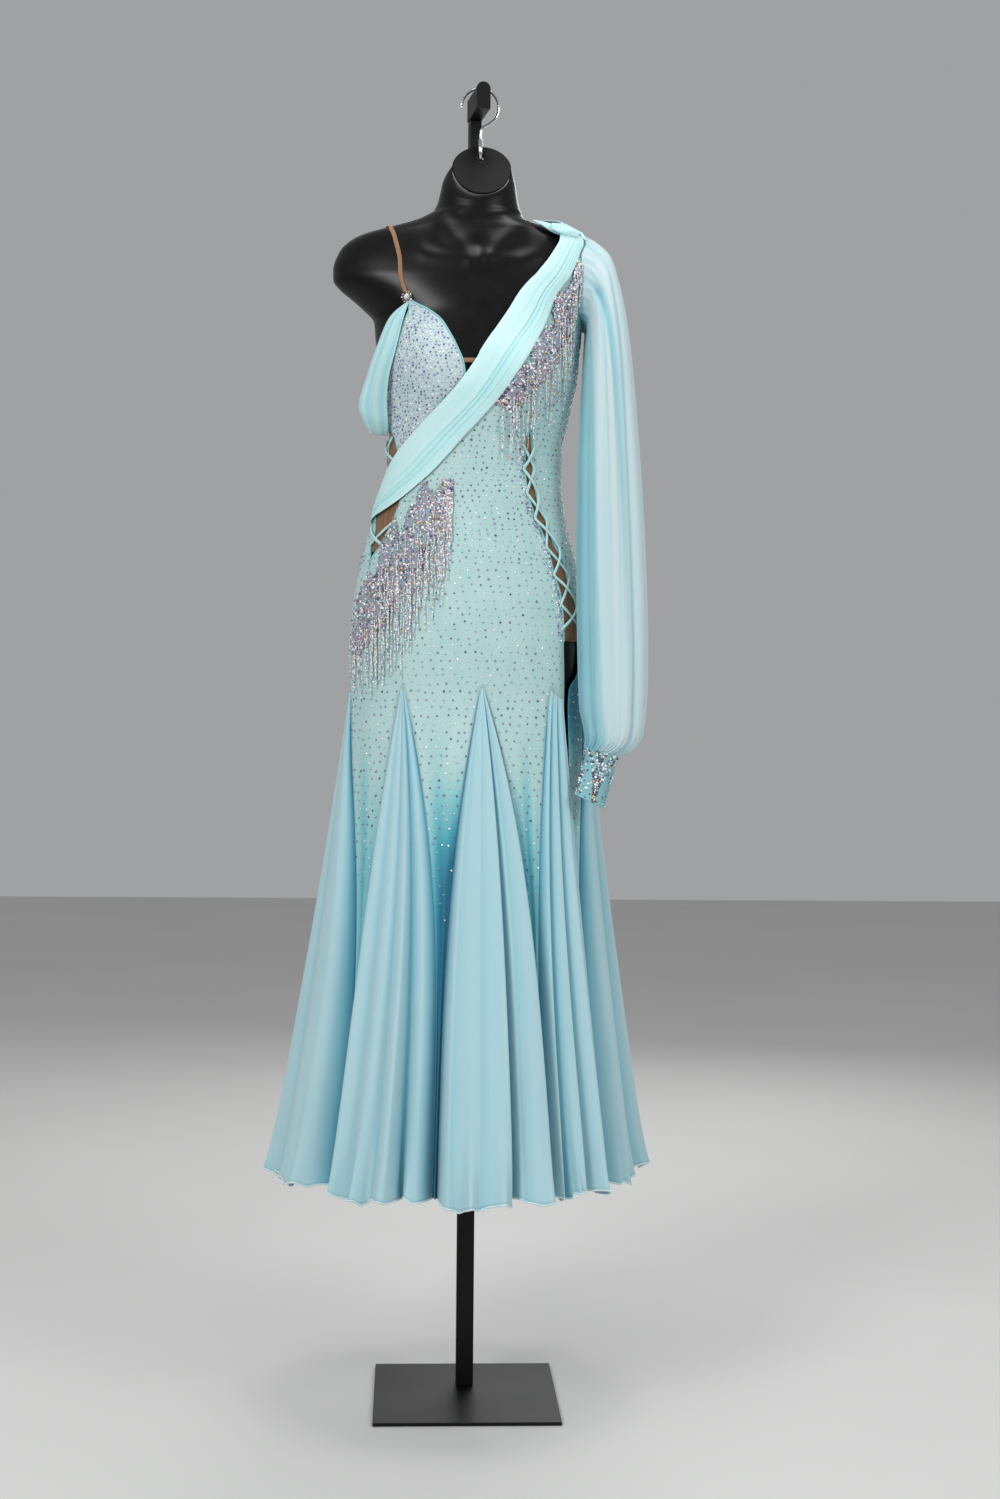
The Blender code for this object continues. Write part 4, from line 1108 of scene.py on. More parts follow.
class Frill(NamedTuple):
    """A stretch of a godet's hem that hangs lower: its middle, half width and fall."""

    middle: float
    wide: float
    fall: float


class Godet(NamedTuple):
    """A godet: its middle and half width at its top, its span at the hem, and its folds.

    The frill is the lowest stretch of its hem, and the sag is how far its top edge slants down.
    """

    top: float
    half: float
    hem_from: float
    hem_to: float
    folds: tuple[Fold, ...]
    frill: Frill = Frill(0.5, 0.3, 0.0)
    sag: float = 0.0


SEAM_PUSH = -34.0


def between_seams(*folds: tuple[float, float]) -> tuple[Fold, ...]:
    """A godet's folds, each a share and a push, with a deep seam at both sides."""
    return (Fold(0, SEAM_PUSH), *(Fold(*fold) for fold in folds), Fold(1, SEAM_PUSH))


PLAIN_FOLDS = between_seams((0.2, 16), (0.38, 4), (0.66, 26), (0.72, -12), (0.88, 8))
UNEVEN_FOLDS = between_seams((0.3, 24), (0.35, -10), (0.55, 6), (0.8, 18))
GODETS = (
    Godet(-85, 0.7, -112, -48, between_seams(
        (0.16, 8), (0.24, -10), (0.5, 18), (0.62, 8), (0.86, 20)), Frill(0.80, 0.13, 9.0)),
    Godet(-34, 0.6, -46.4, -10.6, between_seams(
        (0.16, 14), (0.3, 6), (0.46, 15), (0.53, 8), (0.68, 27), (0.725, -18), (0.87, 1)),
        Frill(0.45, 0.12, 2.5)),
    Godet(6, 0.6, -8.6, 28.7, between_seams(
        (0.12, 15), (0.36, 20), (0.595, 28), (0.64, -18), (0.72, 8), (0.93, 22)),
        Frill(0.2, 0.1, 2.0)),
    Godet(48, 5, 30.3, 52.4, between_seams(
        (0.12, 2), (0.2, -18), (0.44, 9), (0.5, -14), (0.76, 20), (0.82, -2), (0.92, 8)),
        Frill(0.25, 0.14, 6.0), 15.0),
    Godet(82, 0.7, 54, 112, between_seams(
        (0.2, 12), (0.29, -12), (0.52, 18), (0.72, -8), (0.88, 12)), Frill(0.14, 0.1, 10.0)),
    Godet(118, 0.7, 113.6, 142, PLAIN_FOLDS),
    Godet(152, 0.7, 143.6, 170, UNEVEN_FOLDS),
    Godet(188, 0.7, 171.6, 205, PLAIN_FOLDS),
    Godet(228, 0.7, 206.6, 246.4, UNEVEN_FOLDS),
)


@dataclass
class SkirtShape:
    """The skirt's surface, from the godets' tops to the hem."""

    hem: Section = Section(331, -12.5, 252, 256, 222, 0)
    spread: float = 3.5
    seam_growth: float = 0.9
    fold_growth: float = 1.15
    kink: float = 102.0
    side_rise: float = 7.0

    def point(self, top_angle: Array, hem_angle: Array, drop: Array, push: Array) -> Array:
        """Points on the skirt.

        Args:
            top_angle: The angle at the godets' tops.
            hem_angle: The angle at the hem.
            drop: 0 at the godets' tops and 1 at the hem.
            push: How far the cloth stands out at the hem.

        Returns:
            The points, in millimetres.
        """
        angle = mix(top_angle, hem_angle, 1 - (1 - drop) ** self.spread)
        across, ahead = np.sin(np.radians(angle)), np.cos(np.radians(angle))
        reach = np.where(ahead > 0, self.hem.front, self.hem.back)
        hem = np.stack((self.hem.centre + self.hem.half * across,
                        self.hem.middle - reach * ahead,
                        self.hem.height + self.side_rise * across ** 2), axis=-1)
        start = skin(angle, np.full_like(angle, GODET_TOP), PANEL_LIFT)
        growth = drop ** self.fold_growth + 0.06 * (1 - np.exp(-drop / 0.02)) * np.exp(-drop / 0.25)
        away = (SEAM_PUSH * drop ** self.seam_growth + (push - SEAM_PUSH) * growth
                - self.kink * drop * np.exp(-drop / 0.05))
        out = np.stack((across, -ahead, 0 * angle), axis=-1)
        return mix(start, hem, drop[..., None]) + out * away[..., None]


SKIRT = SkirtShape()


@dataclass
class Tail:
    """A stretch of panel that runs down to the hem between two godets."""

    top: tuple[float, float]
    hem: tuple[float, float]
    columns: int
    ripple: float = 5.0
    waves: float = 2.0
    phase: float = 0.0
    shade: float = 0.55
    lean: float = 0.0
    top_shade: float = 0.0
    rows: int = 60

    def wave(self, across: Array, drop: Array) -> Array:
        """The ripples' height, from -1 to 1."""
        return np.sin(2 * np.pi * (self.waves * across + self.phase) + 0.8 * drop)

    def place(self, across: Array, up: Array) -> Array:
        """Points of the tail, with upright ripples that fade out at its seams."""
        drop = 1 - up
        push = SEAM_PUSH + (self.ripple * self.wave(across, drop) * np.sin(np.pi * across)
                            * ease(0.0, 0.35, drop))
        return SKIRT.point(mix(self.top[0], self.top[1], across),
                           mix(self.hem[0], self.hem[1], across), drop, push)

    def depth(self, across: Array, up: Array) -> Array:
        """How far the cloth lies in the shade of its godets."""
        drop = 1 - up
        valley = (0.24 * (0.5 - 0.5 * self.wave(across, drop)) * ease(0.02, 0.3, drop)
                  * np.sin(np.pi * across))
        side = 0.75 + 0.25 * self.lean * np.sin(np.pi * (across - 0.5))
        shaded = self.shade * side * ease(0.14, 0.46, drop - 0.05 * self.lean * (0.5 - across))
        return shaded + valley + self.top_shade * (1 - ease(0.02, 0.22, drop))

    def patch(self) -> Patch:
        """The tail's grid."""
        return Patch(self.columns, self.rows, self.place, {"depth": self.depth})


def plain(value: float) -> Mark:
    """A mark of one value all over."""
    return lambda across, up: np.full_like(across, value)


def banded(levels: Array, left: Mark, right: Mark, lift: float, columns: int,
           shares: Array | None = None, waves: float = 0.0, shade: float = 0.0) -> Patch:
    """A stretch of panel between two edges.

    Args:
        levels: The heights of its rows, from the bottom.
        left: The edge at the lower angle, by height.
        right: The edge at the higher angle, by height.
        lift: Its distance from the form.
        columns: The number of its columns.
        shares: Where its columns stand, where they aren't even.
        waves: The depth of its soft creases.
        shade: How deep its painted shade is at its foot.

    Returns:
        The patch.
    """
    stops = np.linspace(0, 1, columns + 1) if shares is None else shares

    def level(up: Array) -> Array:
        """The heights of rows by their share of the way up."""
        return levels[np.rint(up * (len(levels) - 1)).astype(int)]

    def depth(across: Array, up: Array) -> Array:
        """Painted shade, deeper towards the foot."""
        return shade * (1 - ease(GODET_TOP, GODET_TOP + 90, level(up)))

    def place(across: Array, up: Array) -> Array:
        """Points between the edges."""
        height = level(up)
        share = stops[np.rint(across * columns).astype(int)]
        angle = mix(left(height, height), right(height, height), share)
        crease = (waves * np.sin(0.09 * height + 0.05 * angle) * np.sin(0.13 * angle)
                  * ease(GODET_TOP, GODET_TOP + 50, height))
        return skin(angle, height, lift + crease)

    return Patch(columns, len(levels) - 1, place, {"depth": depth})


def edge(rows: Sequence[Edge], shift: float = 0.0) -> Mark:
    """An edge's angle by height, moved round by a shift."""
    return lambda height, _: read(rows, "angle", height) + shift


def angle_on(line: Mark, height: float) -> float:
    """An edge's angle at one height."""
    level = np.array([height])
    return line(level, level)[0]


RIGHT_SIDE, ARMHOLE = edge(FRONT_RIGHT_SIDE), edge(LEFT_ARMHOLE)
HOLE_FRONT, HOLE_BACK = edge(CUTOUT_FRONT), edge(CUTOUT_BACK)


def piping(line: Mark, low: float, high: float, lift: float, radius: float = 1.4,
           step: float = 6.0) -> Patch:
    """A bound edge that runs up a side of a panel.

    Args:
        line: The edge's angle by height.
        low: The height where it starts.
        high: The height where it ends.
        lift: Its distance from the form.
        radius: Half its thickness, in millimetres.
        step: The distance between its stations.

    Returns:
        The patch.
    """
    heights = np.linspace(low, high, max(8, int((high - low) / step)))
    angles = line(heights, heights)
    return tube(skin(angles, heights, lift), outward(angles, heights), radius, radius, 8,
                {"depth": plain(0.25), "edge": plain(1.0)})


class TailLook(NamedTuple):
    """A front tail's ripples, its shade and the side that the shade leans to."""

    ripple: float
    waves: float
    phase: float
    shade: float
    lean: float


@dataclass
class Bodice:
    """The front and back panels with their tails, and the right cup."""

    finish: Stretch = Stretch()
    cup_finish: Stretch = Stretch("cup_mesh", tone(190, 206, 210), tone(146, 188, 198))
    row_step: float = 8.0
    tail_columns: tuple[int, ...] = (12, 16, 14)
    gap_columns: int = 2
    side_columns: int = 12
    back_columns: int = 12
    crease: float = 0.5
    seam_gap: float = 0.1
    binding_sink: float = 0.4
    looks: tuple[TailLook, ...] = (
        TailLook(4.0, 1.6, 0.1, 0.4, 0.6), TailLook(5.0, 1.3, 0.3, 1.15, 1.0),
        TailLook(6.0, 2.1, 0.65, 0.66, -1.0))
    side_look: TailLook = TailLook(3.0, 1.2, 0.2, 0.15, 0.0)
    side_shade: float = 0.75

    def build(self) -> None:
        """Makes the three panels."""
        material = self.finish.material()
        self.front(material)
        self.back(material)
        self.cup()

    def levels(self) -> tuple[Array, Array]:
        """The heights of the rows under and over the top of the cut-out."""
        def rows(low: float, high: float) -> Array:
            """Even heights from one to another."""
            return np.linspace(low, high, int((high - low) / self.row_step) + 1)
        return rows(GODET_TOP, HOLE_TOP), rows(HOLE_TOP, SHOULDER)

    def stops(self, start: float, end: float, godets: Sequence[Godet]) -> list[float]:
        """The angles of the godets' edges at their tops.

        Args:
            start: The angle of the panel's one side.
            end: The angle of its other side.
            godets: The godets between them.

        Returns:
            The angles, with both ends.
        """
        stops = [start]
        for godet in godets:
            stops += [godet.top - godet.half, godet.top + godet.half]
        return stops + [end]

    def shares(self, stops: Sequence[float], columns: Sequence[int]) -> Array:
        """The columns' shares of the width, with a few over each godet.

        Args:
            stops: The angles of the godets' edges, with both ends.
            columns: The number of columns on each tail.

        Returns:
            The shares, from 0 to 1.
        """
        marks = [stops[0]]
        for tail, count in enumerate(columns):
            low, high = stops[2 * tail], stops[2 * tail + 1]
            marks += list(np.linspace(low, high, count + 1)[1:])
            if 2 * tail + 2 < len(stops):
                marks += list(np.linspace(high, stops[2 * tail + 2], self.gap_columns + 1)[1:])
        return (np.array(marks) - stops[0]) / (stops[-1] - stops[0])

    def front_stops(self) -> list[float]:
        """The edges of the front tails at the godets' tops."""
        end = angle_on(HOLE_FRONT, GODET_TOP)
        stops = self.stops(angle_on(RIGHT_SIDE, GODET_TOP), end, GODETS[1:4])
        return stops[:6] + [end]

    def front_tails(self) -> list[Tail]:
        """The four tails of the front."""
        stops = self.front_stops()
        tails = []
        for tail, look in enumerate(self.looks):
            tails.append(Tail((stops[2 * tail], stops[2 * tail + 1]),
                              (GODETS[tail].hem_to, GODETS[tail + 1].hem_from),
                              self.tail_columns[tail], *look))
        side = angle_on(HOLE_BACK, GODET_TOP), angle_on(ARMHOLE, GODET_TOP)
        tails.append(Tail(side, (GODETS[3].hem_to, GODETS[4].hem_from), self.side_columns,
                          *self.side_look, self.side_shade))
        return tails

    def front(self, material: bpy.types.Material) -> None:
        """The front, with its long cut-out and the tails between the front godets."""
        lower, upper = self.levels()
        shares = self.shares(self.front_stops(), self.tail_columns)
        wide = len(shares) - 1
        left = angle_on(RIGHT_SIDE, HOLE_TOP)
        split = (angle_on(HOLE_FRONT, HOLE_TOP) - left) / (angle_on(ARMHOLE, HOLE_TOP) - left)
        over = np.concatenate((split * shares, np.linspace(split, 1, self.side_columns + 1)[1:]))
        patches = [
            banded(upper, RIGHT_SIDE, ARMHOLE, PANEL_LIFT, wide + self.side_columns, over,
                   self.crease),
            banded(lower, RIGHT_SIDE, HOLE_FRONT, PANEL_LIFT, wide, shares, self.crease),
            banded(lower, HOLE_BACK, ARMHOLE, PANEL_LIFT, self.side_columns, None, self.crease,
                   self.side_shade),
        ]
        patches += [tail.patch() for tail in self.front_tails()]
        patches.append(self.gusset(GODETS[3]))
        item = joined("front_panel_cloth", patches)
        trims = [self.bound(name, line, low, high, material) for name, line, low, high in (
            ("cutout_front_binding", HOLE_FRONT, HOLE_FOOT, HOLE_TOP),
            ("cutout_back_binding", HOLE_BACK, HOLE_FOOT, HOLE_TOP),
            ("armhole_front_binding", ARMHOLE, ARMHOLE_FOOT, BINDING_TOP),
            ("right_side_binding", RIGHT_SIDE, 1190, 1262))]
        clothed(item, PANEL_SHEET, material, "front_panel")

    def gusset(self, godet: Godet) -> Patch:
        """The corner of panel over a godet whose top edge slants down."""
        def place(across: Array, up: Array) -> Array:
            """Points of the corner."""
            angle = mix(godet.top - godet.half, godet.top + godet.half, across)
            return skin(angle, GODET_TOP - (1 - up) * godet.sag * across ** 0.8, PANEL_LIFT)
        return Patch(self.gap_columns, 3, place)

    def bound(self, name: str, line: Mark, low: float, high: float,
              material: bpy.types.Material) -> bpy.types.Object:
        """A bound edge as a piece of its own.

        Args:
            name: The name of the piece.
            line: The edge's angle by height.
            low: The height where it starts.
            high: The height where it ends.
            material: Its material.

        Returns:
            The piece.
        """
        item = joined(name, [piping(line, low, high, PANEL_LIFT - self.binding_sink)])
        return shown(item, material)

    def sides(self) -> tuple[Mark, Mark]:
        """The back panel's left and right edges, clear of the front panel."""
        def left(height: Array, _: Array) -> Array:
            """The left edge."""
            return np.maximum(read(BACK_LEFT_SIDE, "angle", height),
                              read(LEFT_ARMHOLE, "angle", height)) + self.seam_gap

        def right(height: Array, _: Array) -> Array:
            """The right edge."""
            return np.minimum(read(BACK_RIGHT_SIDE, "angle", height),
                              read(FRONT_RIGHT_SIDE, "angle", height) + 360) - self.seam_gap
        return left, right

    def back_stops(self) -> list[float]:
        """The edges of the back tails at the godets' tops."""
        left, right = self.sides()
        return self.stops(angle_on(left, GODET_TOP), angle_on(right, GODET_TOP), GODETS[5:])

    def back_tails(self) -> list[Tail]:
        """The five tails of the back."""
        stops = self.back_stops()
        hems = GODETS[4:] + (GODETS[0]._replace(hem_from=GODETS[0].hem_from + 360),)
        return [Tail((stops[2 * tail], stops[2 * tail + 1]),
                     (hems[tail].hem_to, hems[tail + 1].hem_from), self.back_columns,
                     ripple=5.0, waves=1.4 + 0.3 * tail, phase=0.37 * tail, shade=0.6)
                for tail in range(len(hems) - 1)]

    def back(self, material: bpy.types.Material) -> None:
        """The back, with its slanted top edge and the tails between the back godets."""
        lower, upper = self.levels()
        left, right = self.sides()
        tails = self.back_tails()
        shares = self.shares(self.back_stops(), [self.back_columns] * len(tails))
        patches = [banded(np.concatenate((lower, upper[1:])), left, right, PANEL_LIFT,
                          len(shares) - 1, shares, self.crease)]
        patches += [tail.patch() for tail in tails]
        item = joined("back_panel_cloth", patches)
        trims = [self.bound("back_top_binding", right, 1190, BINDING_TOP, material),
                 self.bound("armhole_back_binding", left, ARMHOLE_FOOT, BINDING_TOP, material)]
        clothed(item, PANEL_SHEET, material, "back_panel")

    def cup(self) -> None:
        """The right cup, with its bound edges."""
        low, high = CUP_SIDE[-1].height, CUP_SIDE[0].height
        material = self.cup_finish.material()
        item = joined("right_cup_cloth", [
            banded(np.linspace(low, high, 60), edge(CUP_SIDE), edge(CUP_NECKLINE), PANEL_LIFT, 30)])
        trims = [self.bound("cup_side_binding", edge(CUP_SIDE), low, high, material),
                 self.bound("neckline_binding", edge(CUP_NECKLINE), low, high, material)]
        clothed(item, Sheet(0.26, Held.STRETCHED, "torso_form", PANEL_WALL), material,
                "right_cup")


@dataclass
class GodetCloth:
    """One chiffon godet, with rounded ridges, narrow valleys and a rolled wavy hem."""

    number: int
    shape: Godet
    material: bpy.types.Material
    columns: int = 96
    rows: int = 70
    hem_wave: float = 5.6
    hem_length: float = 40.0
    hem_reach: float = 290.0
    curls: float = 13.0
    roll: float = 1.3
    row_growth: float = 1.15

    def drop(self, up: Array) -> Array:
        """The share of the way down, with wider rows near the top."""
        return 1 - up ** self.row_growth

    def push(self, share: Array) -> tuple[Array, Array]:
        """The folds at the hem.

        Args:
            share: The share of the godet's width.

        Returns:
            The push outwards, and how deep the place lies in a valley.
        """
        folds = self.shape.folds
        stops = np.array([fold.share for fold in folds])
        pushes = np.array([fold.push for fold in folds])
        at = np.clip(np.searchsorted(stops, share, side="right") - 1, 0, len(folds) - 2)
        t = (share - stops[at]) / (stops[at + 1] - stops[at])
        rising = pushes[at + 1] > pushes[at]
        from_valley = np.where(rising, t, 1 - t)
        low, high = np.minimum(pushes[at], pushes[at + 1]), np.maximum(pushes[at], pushes[at + 1])
        grown = (1 - np.cos(np.pi * from_valley ** 0.72)) / 2
        valley = (1 - grown) ** 2 * np.clip((high - low) / 42.0, 0.25, 1.0)
        return mix(low, high, grown), valley

    def hem_phase(self, across: Array) -> Array:
        """The hem's uneven wave."""
        wide = math.radians(self.shape.hem_to - self.shape.hem_from) * self.hem_reach
        count = max(3.0, wide / self.hem_length)
        start = 1.9 * self.number
        return (np.sin(2 * np.pi * count * across + start)
                + 0.6 * np.sin(2 * np.pi * 1.63 * count * across + 2.3 * start)
                + 0.4 * np.sin(2 * np.pi * 0.41 * count * across + 0.7 * start))

    def place(self, across: Array, up: Array) -> Array:
        """Points of the godet."""
        drop = self.drop(up)
        push, _ = self.push(across)
        inner = np.clip(np.sin(np.pi * across), 0, 1) ** 0.5
        soft = 2.6 * np.sin(2 * np.pi * (3.7 * across + 0.31 * self.number) + 1.4 * drop) * inner
        near_hem = drop ** 14 * inner
        wave = self.hem_phase(across)
        middle, wide, fall = self.shape.frill
        frill = np.exp(-((across - middle) / wide) ** 2) * drop ** 12 * inner
        curl = np.sin(2 * np.pi * across * self.curls + 1.3 * self.number)
        push = push + soft * drop + self.hem_wave * wave * near_hem + 0.8 * fall * curl * frill
        top = mix(self.shape.top - self.shape.half, self.shape.top + self.shape.half, across)
        hem = mix(self.shape.hem_from, self.shape.hem_to, across)
        point = SKIRT.point(top, hem, drop, push)
        tilt = np.sin(2 * np.pi * 1.3 * across + self.number)
        point[..., 2] += 2.8 * near_hem * wave + 4.5 * tilt * drop ** 6 * inner
        lobes = np.cos(2 * np.pi * across * self.curls + self.number)
        point[..., 2] -= fall * frill * (0.8 + 0.3 * lobes)
        point[..., 2] -= self.shape.sag * np.clip(across, 0, 1) ** 0.8 * (1 - drop) ** 9
        return point

    def depth(self, across: Array, up: Array) -> Array:
        """Painted shade, deeper towards the valleys, the seams and the planes that lie back, and partly
        the real deepening of the layered chiffon.
        """
        push, valley = self.push(across)
        drop = self.drop(up)
        low = ease(14.0, -30.0, push) * ease(0.0, 0.12, drop)
        valley_shade_near_top = 0.25 * valley * (1 - ease(0.05, 0.3, drop))
        return 0.08 + 0.64 * valley * ease(-0.02, 0.08, drop) + 0.24 * low + valley_shade_near_top

    def build(self) -> None:
        """Makes the godet with its rolled hem."""
        item = joined(f"godet_{self.number}_chiffon",
                      [Patch(self.columns, self.rows, self.place, {"depth": self.depth})])
        share = np.linspace(0, 1, 2 * self.columns)
        line = self.place(share, np.zeros_like(share))
        out = np.tile([[0.0, -0.3, 1.0]], (len(line), 1))
        roll = joined(f"godet_{self.number}_hem", [
            tube(line, out, self.roll, self.roll, 6, {"edge": plain(1.0)})])
        shown(roll, self.material)
        panel = "front_panel_cloth" if self.number < 6 else "back_panel_cloth"
        clothed(item, Sheet(0.72, Held.GATHERED, panel, CHIFFON_WALL, 0.6), self.material,
                f"godet_{self.number}")


@dataclass
class Inserts:
    """The tan mesh that fills the cut-outs, just under the panels' edges."""

    finish: TanMesh = TanMesh()
    lift: float = 3.7
    wall: float = 0.6
    tuck: float = 1.6
    columns: int = 16
    rows: int = 60

    def build(self) -> None:
        """Makes both inserts."""
        material = self.finish.material()
        right_back = tuple(entry._replace(angle=entry.angle - 360) for entry in BACK_RIGHT_SIDE)
        right_front = CUP_SIDE[6:] + tuple(row for row in FRONT_RIGHT_SIDE if row.height < 1300)
        self.one("left_mesh", CUTOUT_FRONT, CUTOUT_BACK, 1079.5, 1372, material, "left_insert")
        self.one("right_mesh", right_back, right_front, 1202, 1400, material, "right_insert")

    def one(self, name: str, front: Sequence[Edge], back: Sequence[Edge], low: float,
            high: float, material: bpy.types.Material, node: str) -> None:
        """One insert, a little wider than its cut-out.

        Args:
            name: The name of the piece.
            front: The edge at the lower angle.
            back: The edge at the higher angle.
            low: The height of its foot.
            high: The height of its top.
            material: Its material.
            node: The solid that it stands for.
        """
        levels = np.linspace(low, high, self.rows)
        item = joined(name, [banded(levels, edge(front, -self.tuck), edge(back, self.tuck),
                                    self.lift, self.columns)])
        clothed(item, Sheet((high - low) * MM, Held.STRETCHED, "torso_form", self.wall), material,
                node)


class Turn(NamedTuple):
    """A turn of a lacing: its height and the angle at each side of the cut-out."""

    height: float
    front: float
    back: float


LEFT_TURNS = (
    Turn(1350, 31.5, 40.5), Turn(1318, 32, 41.5), Turn(1284, 34.5, 44.5), Turn(1248, 40, 50.5),
    Turn(1208, 45, 57), Turn(1170, 47.5, 63), Turn(1130, 51, 68.5), Turn(1096, 51.5, 71.5),
)
RIGHT_UPPER_TURNS = (Turn(1366, -70, -97), Turn(1328, -62, -103))
RIGHT_LOWER_TURNS = (Turn(1240, -51.5, -81), Turn(1211, -56, -69))


@dataclass
class Lacings:
    """The crossing cords over the cut-outs, each with a small loop at its turns."""

    finish: Stretch = Stretch("lacing_cord", tone(180, 218, 218), tone(146, 202, 204))
    lift: float = 6.7
    over: float = 3.0
    wide: float = 2.3
    thick: float = 1.2
    steps: int = 14

    def build(self) -> None:
        """Makes the six cords."""
        material = self.finish.material()
        for side, turns in (("left", LEFT_TURNS), ("right_upper", RIGHT_UPPER_TURNS),
                            ("right_lower", RIGHT_LOWER_TURNS)):
            self.cord(f"{side}_cord_under", turns, True, 0.0, material)
            self.cord(f"{side}_cord_over", turns, False, self.over, material)

    def cord(self, name: str, turns: Sequence[Turn], starts_in_front: bool, extra: float,
             material: bpy.types.Material) -> None:
        """One zigzag cord, raised where it crosses the other.

        Args:
            name: The name of the solid that it stands for.
            turns: The turns that it runs between.
            starts_in_front: Whether it starts at the front edge.
            extra: How much higher it lies where the cords cross.
            material: Its material.
        """
        angles, heights, lifts = [], [], []
        for number in range(len(turns) - 1):
            here, there = turns[number], turns[number + 1]
            forward = (number % 2 == 0) == starts_in_front
            start, end = (here.front, there.back) if forward else (here.back, there.front)
            widths = abs(here.back - here.front), abs(there.back - there.front)
            crossing = widths[0] / sum(widths)
            share = np.arange(self.steps + (number == len(turns) - 2)) / self.steps
            half = np.where(share < crossing, share / crossing, (1 - share) / (1 - crossing))
            angles.append(mix(start, end, share))
            heights.append(mix(here.height, there.height, share))
            lifts.append(self.lift + extra * np.sin(np.pi / 2 * np.minimum(1, 1.2 * half)) ** 2)
        angle, height, lift = (np.concatenate(part) for part in (angles, heights, lifts))
        path = smoothed(skin(angle, height, lift))
        patch = tube(path, outward(angle, height), self.wide, self.thick)
        shown(joined(f"{name}_tube", [patch]), material, [name])


class SashRow(NamedTuple):
    """A station of the sash: its two edges and how far it stands out."""

    upper_angle: float
    upper_height: float
    lower_angle: float
    lower_height: float
    out: float


SASH = (
    SashRow(44, 1648, 60, 1646, 0), SashRow(33.8, 1620, 48, 1621, 0),
    SashRow(25.6, 1585, 41.2, 1579, 0), SashRow(18.6, 1544, 42, 1530, 1),
    SashRow(6.1, 1490, 28.7, 1471, 1), SashRow(-10.3, 1441, 15.7, 1424, 1),
    SashRow(-30.1, 1395, -2.6, 1376, 0), SashRow(-48, 1361, -23.6, 1321, 0),
    SashRow(-64, 1337, -41.1, 1286, 0), SashRow(-80, 1314, -58.2, 1260, 1),
    SashRow(-95, 1290, -80, 1250, 1), SashRow(-104, 1268, -98, 1246, 0),
    SashRow(-112, 1254, -108, 1243, 0),
)


class Groove(NamedTuple):
    """A groove between the pleats: its place at the waist and the shoulder, its depth and width."""

    waist: float
    shoulder: float
    deep: float
    wide: float


@dataclass
class SashCloth:
    """The pleated sash, from the left shoulder to the right side of the waist."""

    material: bpy.types.Material
    lift: float = 9.4
    grooves: tuple[Groove, ...] = (
        Groove(0.14, 0.20, 0.18, 0.10), Groove(0.34, 0.40, 0.3, 0.12),
        Groove(0.50, 0.60, 0.8, 0.06), Groove(0.64, 0.71, 0.8, 0.05),
        Groove(0.78, 0.80, 0.9, 0.07), Groove(0.88, 0.90, 0.5, 0.05))
    deep: float = 2.1
    columns: int = 140
    rows: int = 150

    def pleat(self, across: Array, up: Array) -> Array:
        """The pleats' height from 0 in a groove to 1 on a flat plane."""
        height = np.ones_like(across)
        for start, end, deep, wide in self.grooves:
            middle = mix(start, end, up) + 0.02 * np.sin(7 * up + 20 * start)
            away = across - middle
            crease = np.where(away > 0, np.exp(-away / wide), np.exp(-(away / (0.35 * wide)) ** 2))
            gather = 0.55 + 0.3 * np.sin(5 * up + 9 * start) + 0.6 * ease(0.25, 0.0, up)
            height = height - deep * gather * crease
        return height

    def edges(self, name: str, up: Array) -> Array:
        """A column of the table, smoothed along the sash."""
        return follow(smoothed(column_of(SASH, name), 4.0), 1 - up)

    def place(self, across: Array, up: Array) -> Array:
        """Points of the sash."""
        values = {name: self.edges(name, up) for name in SashRow._fields}
        angle = mix(values["upper_angle"], values["lower_angle"], across)
        height = mix(values["upper_height"], values["lower_height"], across)
        hem = 1 - np.abs(2 * across - 1) ** 8
        bow = 1.2 * np.sin(np.pi * (across + 0.1 * np.sin(4 * up)))
        lift = (self.lift - 1.2 + values["out"] + self.deep * self.pleat(across, up) + bow
                - 1.4 * (1 - hem))
        return skin(angle, height, lift)

    def depth(self, across: Array, up: Array) -> Array:
        """Painted shade, deeper in the grooves."""
        return 0.62 * (1 - self.pleat(across, up)) + 0.04

    def build(self) -> None:
        """Makes the sash."""
        patch = Patch(self.columns, self.rows, self.place, {"depth": self.depth})
        item = joined("sash_chiffon", [patch])
        clothed(item, Sheet(0.62, Held.GATHERED, "front_panel_cloth", CHIFFON_WALL),
                self.material, "sash")


